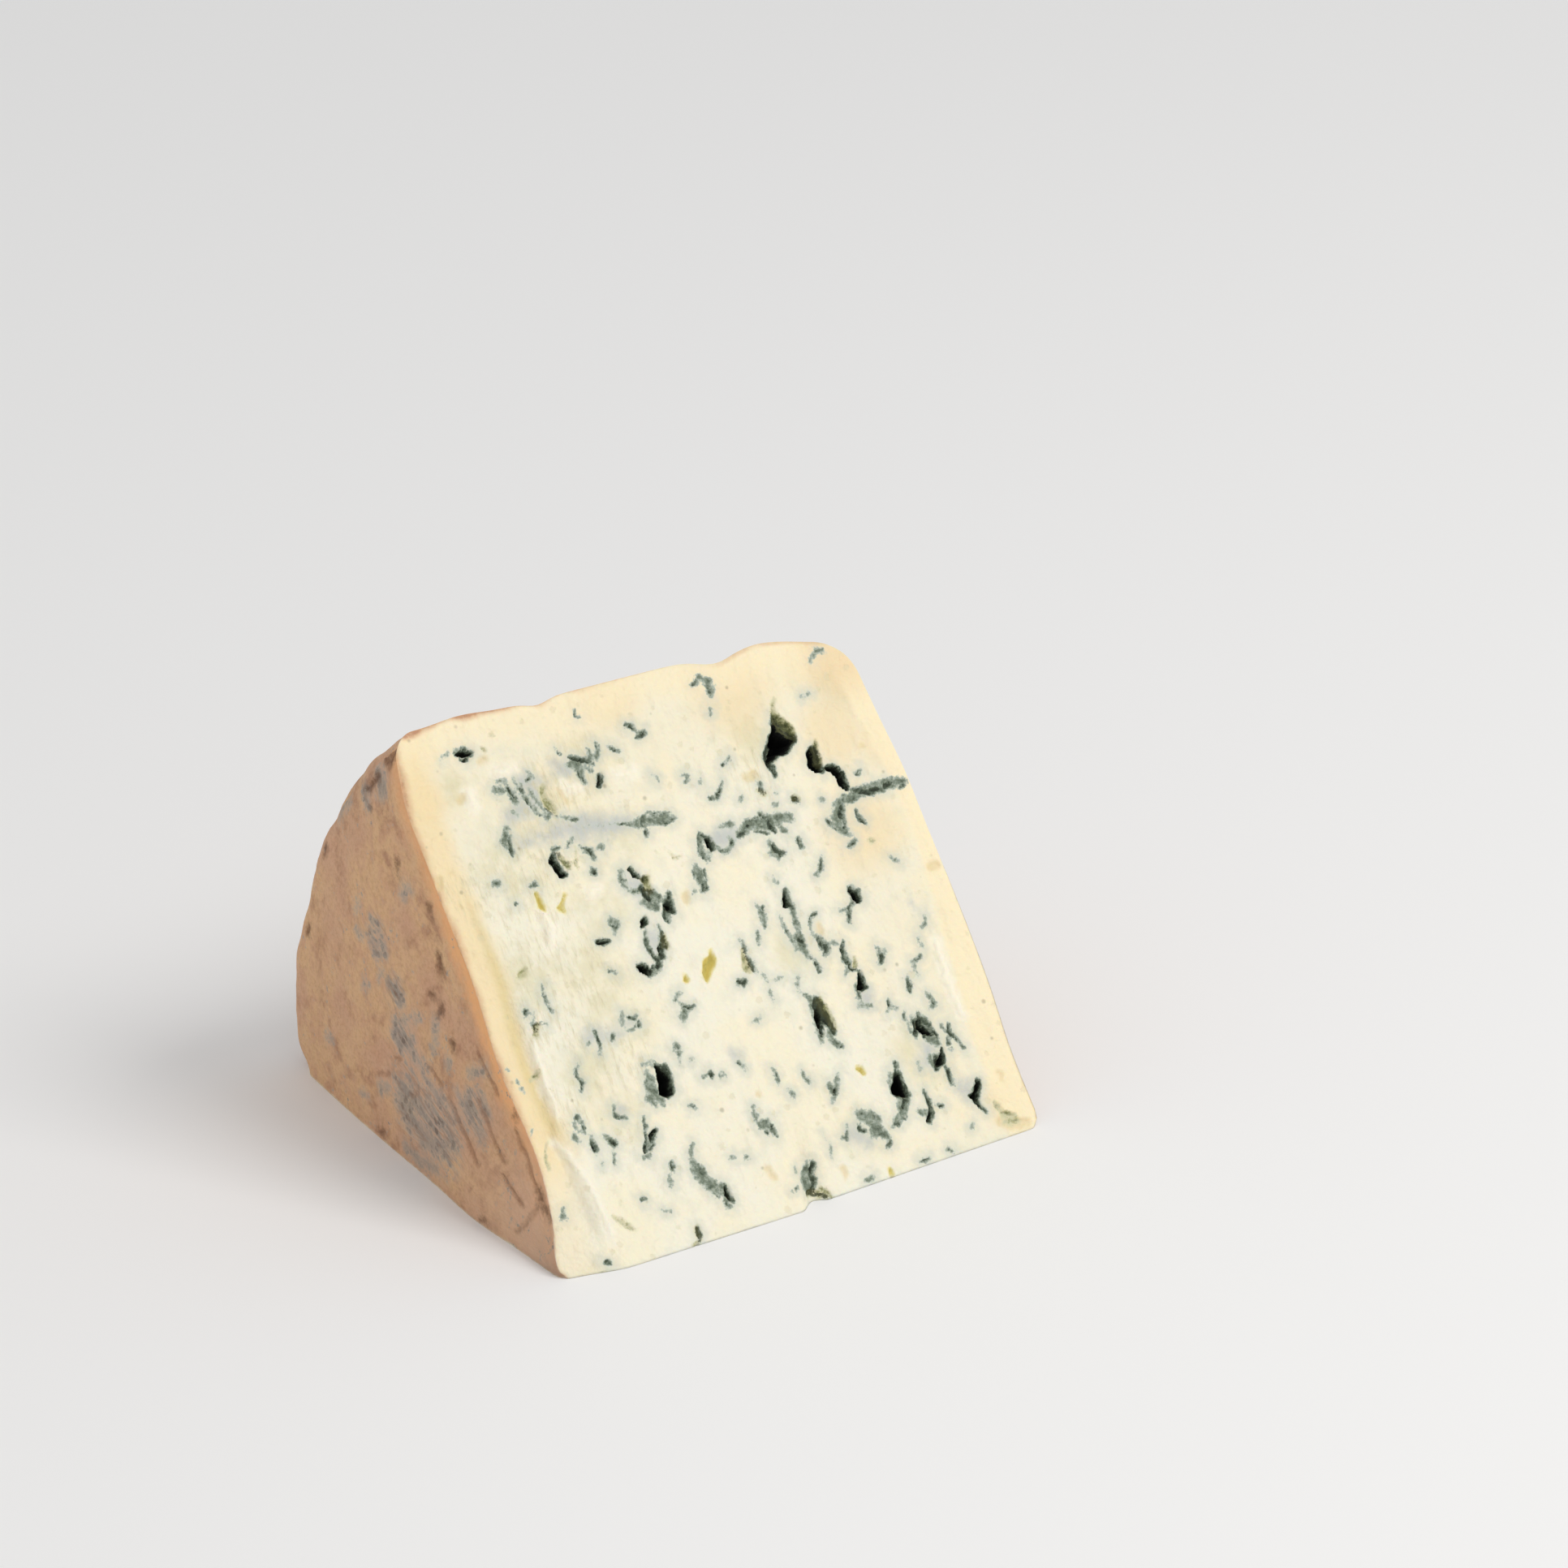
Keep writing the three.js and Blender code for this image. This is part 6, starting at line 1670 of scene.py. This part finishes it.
def marked_colour(s, mm, colour):
    """The paste with its marks, and how mouldy each place is."""
    fray = s.add(s.stray(mm, 1.2, 0.16), s.stray(mm, 0.4, 0.12, 3))
    tan = s.add(s.field("tan"), fray)
    yellow = s.add(s.field("yellow"), fray)
    hole = s.mix(s.ramp(yellow, -0.2, 0.4), YELLOW_RIM, YELLOW_HOLE)
    # painted shade: the yellow holes darker in from their edges
    hole = s.mix(s.ramp(s.add(yellow, s.stray(mm, 1.0, 0.2)), 0.45, 1.2), hole, YELLOW_HOLE_SHADE)
    olive = s.add(s.field("olive"), s.add(fray, s.stray(mm, 0.8, 0.2)))
    in_olive = s.ramp(olive, -0.5, 0.3)
    # painted shade: the olive walls darken in from their edges and toward the black holes
    hole_shade = s.ramp(s.field("black"), -2.8, 0.0, 0.05, -0.34)
    light = s.add(s.noise(mm, 1.3, 3, 0.6), s.add(s.ramp(olive, -0.5, 0.9, 0.18, 0.04), hole_shade))

    loose = s.add(s.stray(mm, 1.6, 0.3, 3), s.stray(mm, 0.6, 0.25, 3))
    grey = s.add(s.field("grey"), s.add(fray, loose))
    dark = s.add(s.field("dark"), s.add(fray, s.times(loose, 0.4)))
    black = s.add(s.field("black"), fray)
    thick = s.highest(
        s.ramp(grey, -0.6, 0.7, 0, 0.44),
        s.ramp(dark, -0.5, 0.6, 0, 0.76),
        s.ramp(black, -0.45, 0.55, 0, 1.1),
    )
    thick = s.add(thick, s.mottle(thick, s.noise(mm, 1.1, 4, 0.65), 3.2, 1.12))
    olive_shade = s.times(in_olive, s.ramp(thick, 1.0, 0.8))
    colour = s.layers(
        colour,
        (s.ramp(tan, -0.6, 0.5, 0, 0.6), TAN_SPOT),
        (s.ramp(yellow, -0.45, 0.2), hole),
        (in_olive, s.tones(light, *OLIVE_WALL_LIGHT_AND_SHADE)),
        (s.ramp(thick, 0.03, 0.25), s.mix(olive_shade, s.tones(thick, *MOULD_TONES), OLIVE_SHADE)),
    )
    return colour, thick


def rind_colour(s, mm):
    """Dry tan rind, bruised here and there, with grey mould in streaks, specks and soft patches."""
    _, radius = s.outward()
    small = s.noise(mm, 3.0, 4, 0.65)
    fine = s.noise(mm, 0.8, 4, 0.7)
    outward = s.less(s.ramp(radius, 45, 85), s.ramp(radius, 86, 97, 0, 1.1))
    ochre = s.add(s.noise(mm, 12, 3), s.times(outward, 0.14))
    bruise = s.times(s.ramp(s.noise(mm, 7, 4, 0.6), 0.5, 0.68), s.ramp(small, 0.36, 0.56, 0.3, 1.0))
    near_cut = s.ramp(s.add(s.field("inset"), s.stray(mm, 3, 1.8, 3)), -6.0, -0.8)

    fuzz = s.add(s.stray(mm, 2.2, 1.2, 4), s.stray(mm, 0.6, 0.5, 3))
    patchy = s.ramp(s.add(s.field("mould"), fuzz), -2.6, 2.0, 0, 0.62)
    streaks = s.ramp(s.noise(s.scaled(s.wheel(), STREAK_STRETCH), 1.8, 4, 0.6), 0.4, 0.58, 0, 0.4)
    bloom = s.times(s.field("bloom"), s.add(s.ramp(small, 0.36, 0.6, 0.24, 0.4), streaks))
    scattered = s.ramp(s.noise(mm, 1.3, 3, 0.7), 0.5, 0.72, 0, 0.7)
    scattered = s.times(s.ramp(s.noise(mm, 6, 2), 0.5, 0.64), scattered)
    thick = s.highest(patchy, bloom, scattered)
    flecks = s.times(s.specks(s.moved(mm, 0.7), 1.3, 0.55, 0.9), s.ramp(thick, 0.1, 0.4, 0, 0.22))
    thick = s.add(thick, flecks, s.mottle(thick, fine, 1.7, 1.1))

    ridges = s.less(s.noise(s.scaled(s.wheel(), DRIP_STRETCH), 1.8, 3), 0.5)
    drips = s.ramp(s.math("ABSOLUTE", ridges), 0.035, 0.0, 0, 0.45)
    drips = s.times(drips, s.add(s.times(s.field("bloom"), 0.7), 0.12))
    line = s.add(s.field("line"), s.stray(mm, 0.8, 0.35, 3))
    spot = s.add(s.field("spot"), fuzz)
    return s.layers(
        RIND_TAN,
        (s.ramp(ochre, 0.44, 0.62), RIND_OCHRE),
        (s.ramp(small, 0.42, 0.62, 0, 0.55), RIND_PINK),
        (s.times(bruise, 0.75), RIND_BRUISE),
        (s.ramp(fine, 0.44, 0.68, 0, 0.6), RIND_SHADE, "MULTIPLY"),
        (s.times(near_cut, s.field("glow")), RIND_ORANGE),
        # painted light on the rind, stronger toward the tip
        (s.ramp(radius, 36, 6, 0, 0.7), RIND_TIP_PAINTED_LIGHT),
        (s.ramp(thick, 0.0, 0.75, 0, 0.85), s.tones(thick, *RIND_MOULD_TONES)),
        (s.highest(s.ramp(line, -0.7, 0.4, 0, 0.5), drips), RIND_LINE),
        (s.ramp(spot, -1.2, 1.0, 0, 0.8), RIND_BROWN),
    )


# ---- pieces ----
def centred(points):
    """Points moved to the CAD solid's place: the middle of its box's base is the origin."""
    front = cad_box[0][1] / MM
    return points + (BOX_OFFSET_X, front + FOOT_FLARE, 0)


def make_cheese():
    plain, faces = build_wedge()
    points, fields = finish_form(plain, faces)
    mesh = bpy.data.meshes.new("cheese")
    mesh.from_pydata((centred(points) * MM).tolist(), [], faces)
    for name, values in fields.items():
        kind, part = ("FLOAT_VECTOR", "vector") if values.ndim == 2 else ("FLOAT", "value")
        layer = mesh.attributes.new(name, kind, "POINT")
        layer.data.foreach_set(part, values.astype(np.float32).ravel())
    mesh.shade_smooth()
    crease(mesh, *on_cuts(plain))
    cheese = bpy.data.objects.new("cheese", mesh)
    bpy.context.collection.objects.link(cheese)
    cheese.data.materials.append(cheese_material())
    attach(cheese, "root")
    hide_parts("blue_cheese_wedge")


def crease(mesh, shown, ground):
    """Marks the edges between a cut face and the rind as sharp."""
    uses = np.zeros((len(mesh.edges), 2), dtype=bool)
    for polygon in mesh.polygons:
        corners = list(polygon.vertices)
        is_cut = bool(shown[corners].all() or ground[corners].all())
        for n in polygon.loop_indices:
            uses[mesh.loops[n].edge_index, int(is_cut)] = True
    sharp = mesh.attributes.new("sharp_edge", "BOOLEAN", "EDGE")
    sharp.data.foreach_set("value", uses.all(axis=1))


FLOOR_SIZE = 8  # metres
FLOOR_GREY = 0.94
FLOOR_ROUGHNESS = 0.9


def make_floor():
    bpy.ops.mesh.primitive_plane_add(size=FLOOR_SIZE, location=(0, 0, 0))
    floor = bpy.context.object
    floor.name = "floor"
    s = Shading("floor")
    s.surface_is(Base_Color=(*(FLOOR_GREY,) * 3, 1), Roughness=FLOOR_ROUGHNESS)
    floor.data.materials.append(s.material)


# ---- light and camera ----
CAMERA_AZIMUTH = math.radians(-33.36)
CAMERA_ELEVATION = math.radians(24.98)
CAMERA_ROLL = math.radians(-0.58)
CAMERA_DISTANCE = 1.490  # metres
CAMERA_LENS = 190.5
CAMERA_SENSOR = 36
CAMERA_AIM = (24.7, 44.0, 58.4)  # from the tip's middle
WORLD_COLOUR = (1.0, 1.0, 1.0, 1)
WORLD_STRENGTH = 0.6
KEY_PLACE = (0.5, -0.9, 1.1)  # metres
KEY_SIZE = 0.7  # metres
KEY_POWER = 9
KEY_COLOUR = (1.0, 0.98, 0.95)


def make_camera():
    data = bpy.data.cameras.new("camera")
    data.lens = CAMERA_LENS
    data.sensor_width = CAMERA_SENSOR
    camera = bpy.data.objects.new("camera", data)
    bpy.context.collection.objects.link(camera)
    back = Vector((
        math.sin(CAMERA_AZIMUTH) * math.cos(CAMERA_ELEVATION),
        -math.cos(CAMERA_AZIMUTH) * math.cos(CAMERA_ELEVATION),
        math.sin(CAMERA_ELEVATION),
    ))
    aim = Vector(centred(np.array(CAMERA_AIM)) * MM)
    rotation = back.to_track_quat("Z", "Y").to_matrix().to_4x4() @ Matrix.Rotation(CAMERA_ROLL, 4, "Z")
    camera.matrix_world = Matrix.Translation(aim + back * CAMERA_DISTANCE) @ rotation
    bpy.context.scene.camera = camera


def make_light():
    world = bpy.data.worlds.new("world")
    world.use_nodes = True
    background = world.node_tree.nodes["Background"]
    background.inputs["Color"].default_value = WORLD_COLOUR
    background.inputs["Strength"].default_value = WORLD_STRENGTH
    bpy.context.scene.world = world
    data = bpy.data.lights.new("key", "AREA")
    data.shape = "SQUARE"
    data.size = KEY_SIZE
    data.energy = KEY_POWER
    data.color = KEY_COLOUR
    key = bpy.data.objects.new("key", data)
    bpy.context.collection.objects.link(key)
    key.location = KEY_PLACE
    key.rotation_euler = Vector(KEY_PLACE).to_track_quat("Z", "Y").to_euler()
    bpy.context.scene.view_settings.view_transform = "Standard"


make_camera()
make_cheese()
make_floor()
make_light()
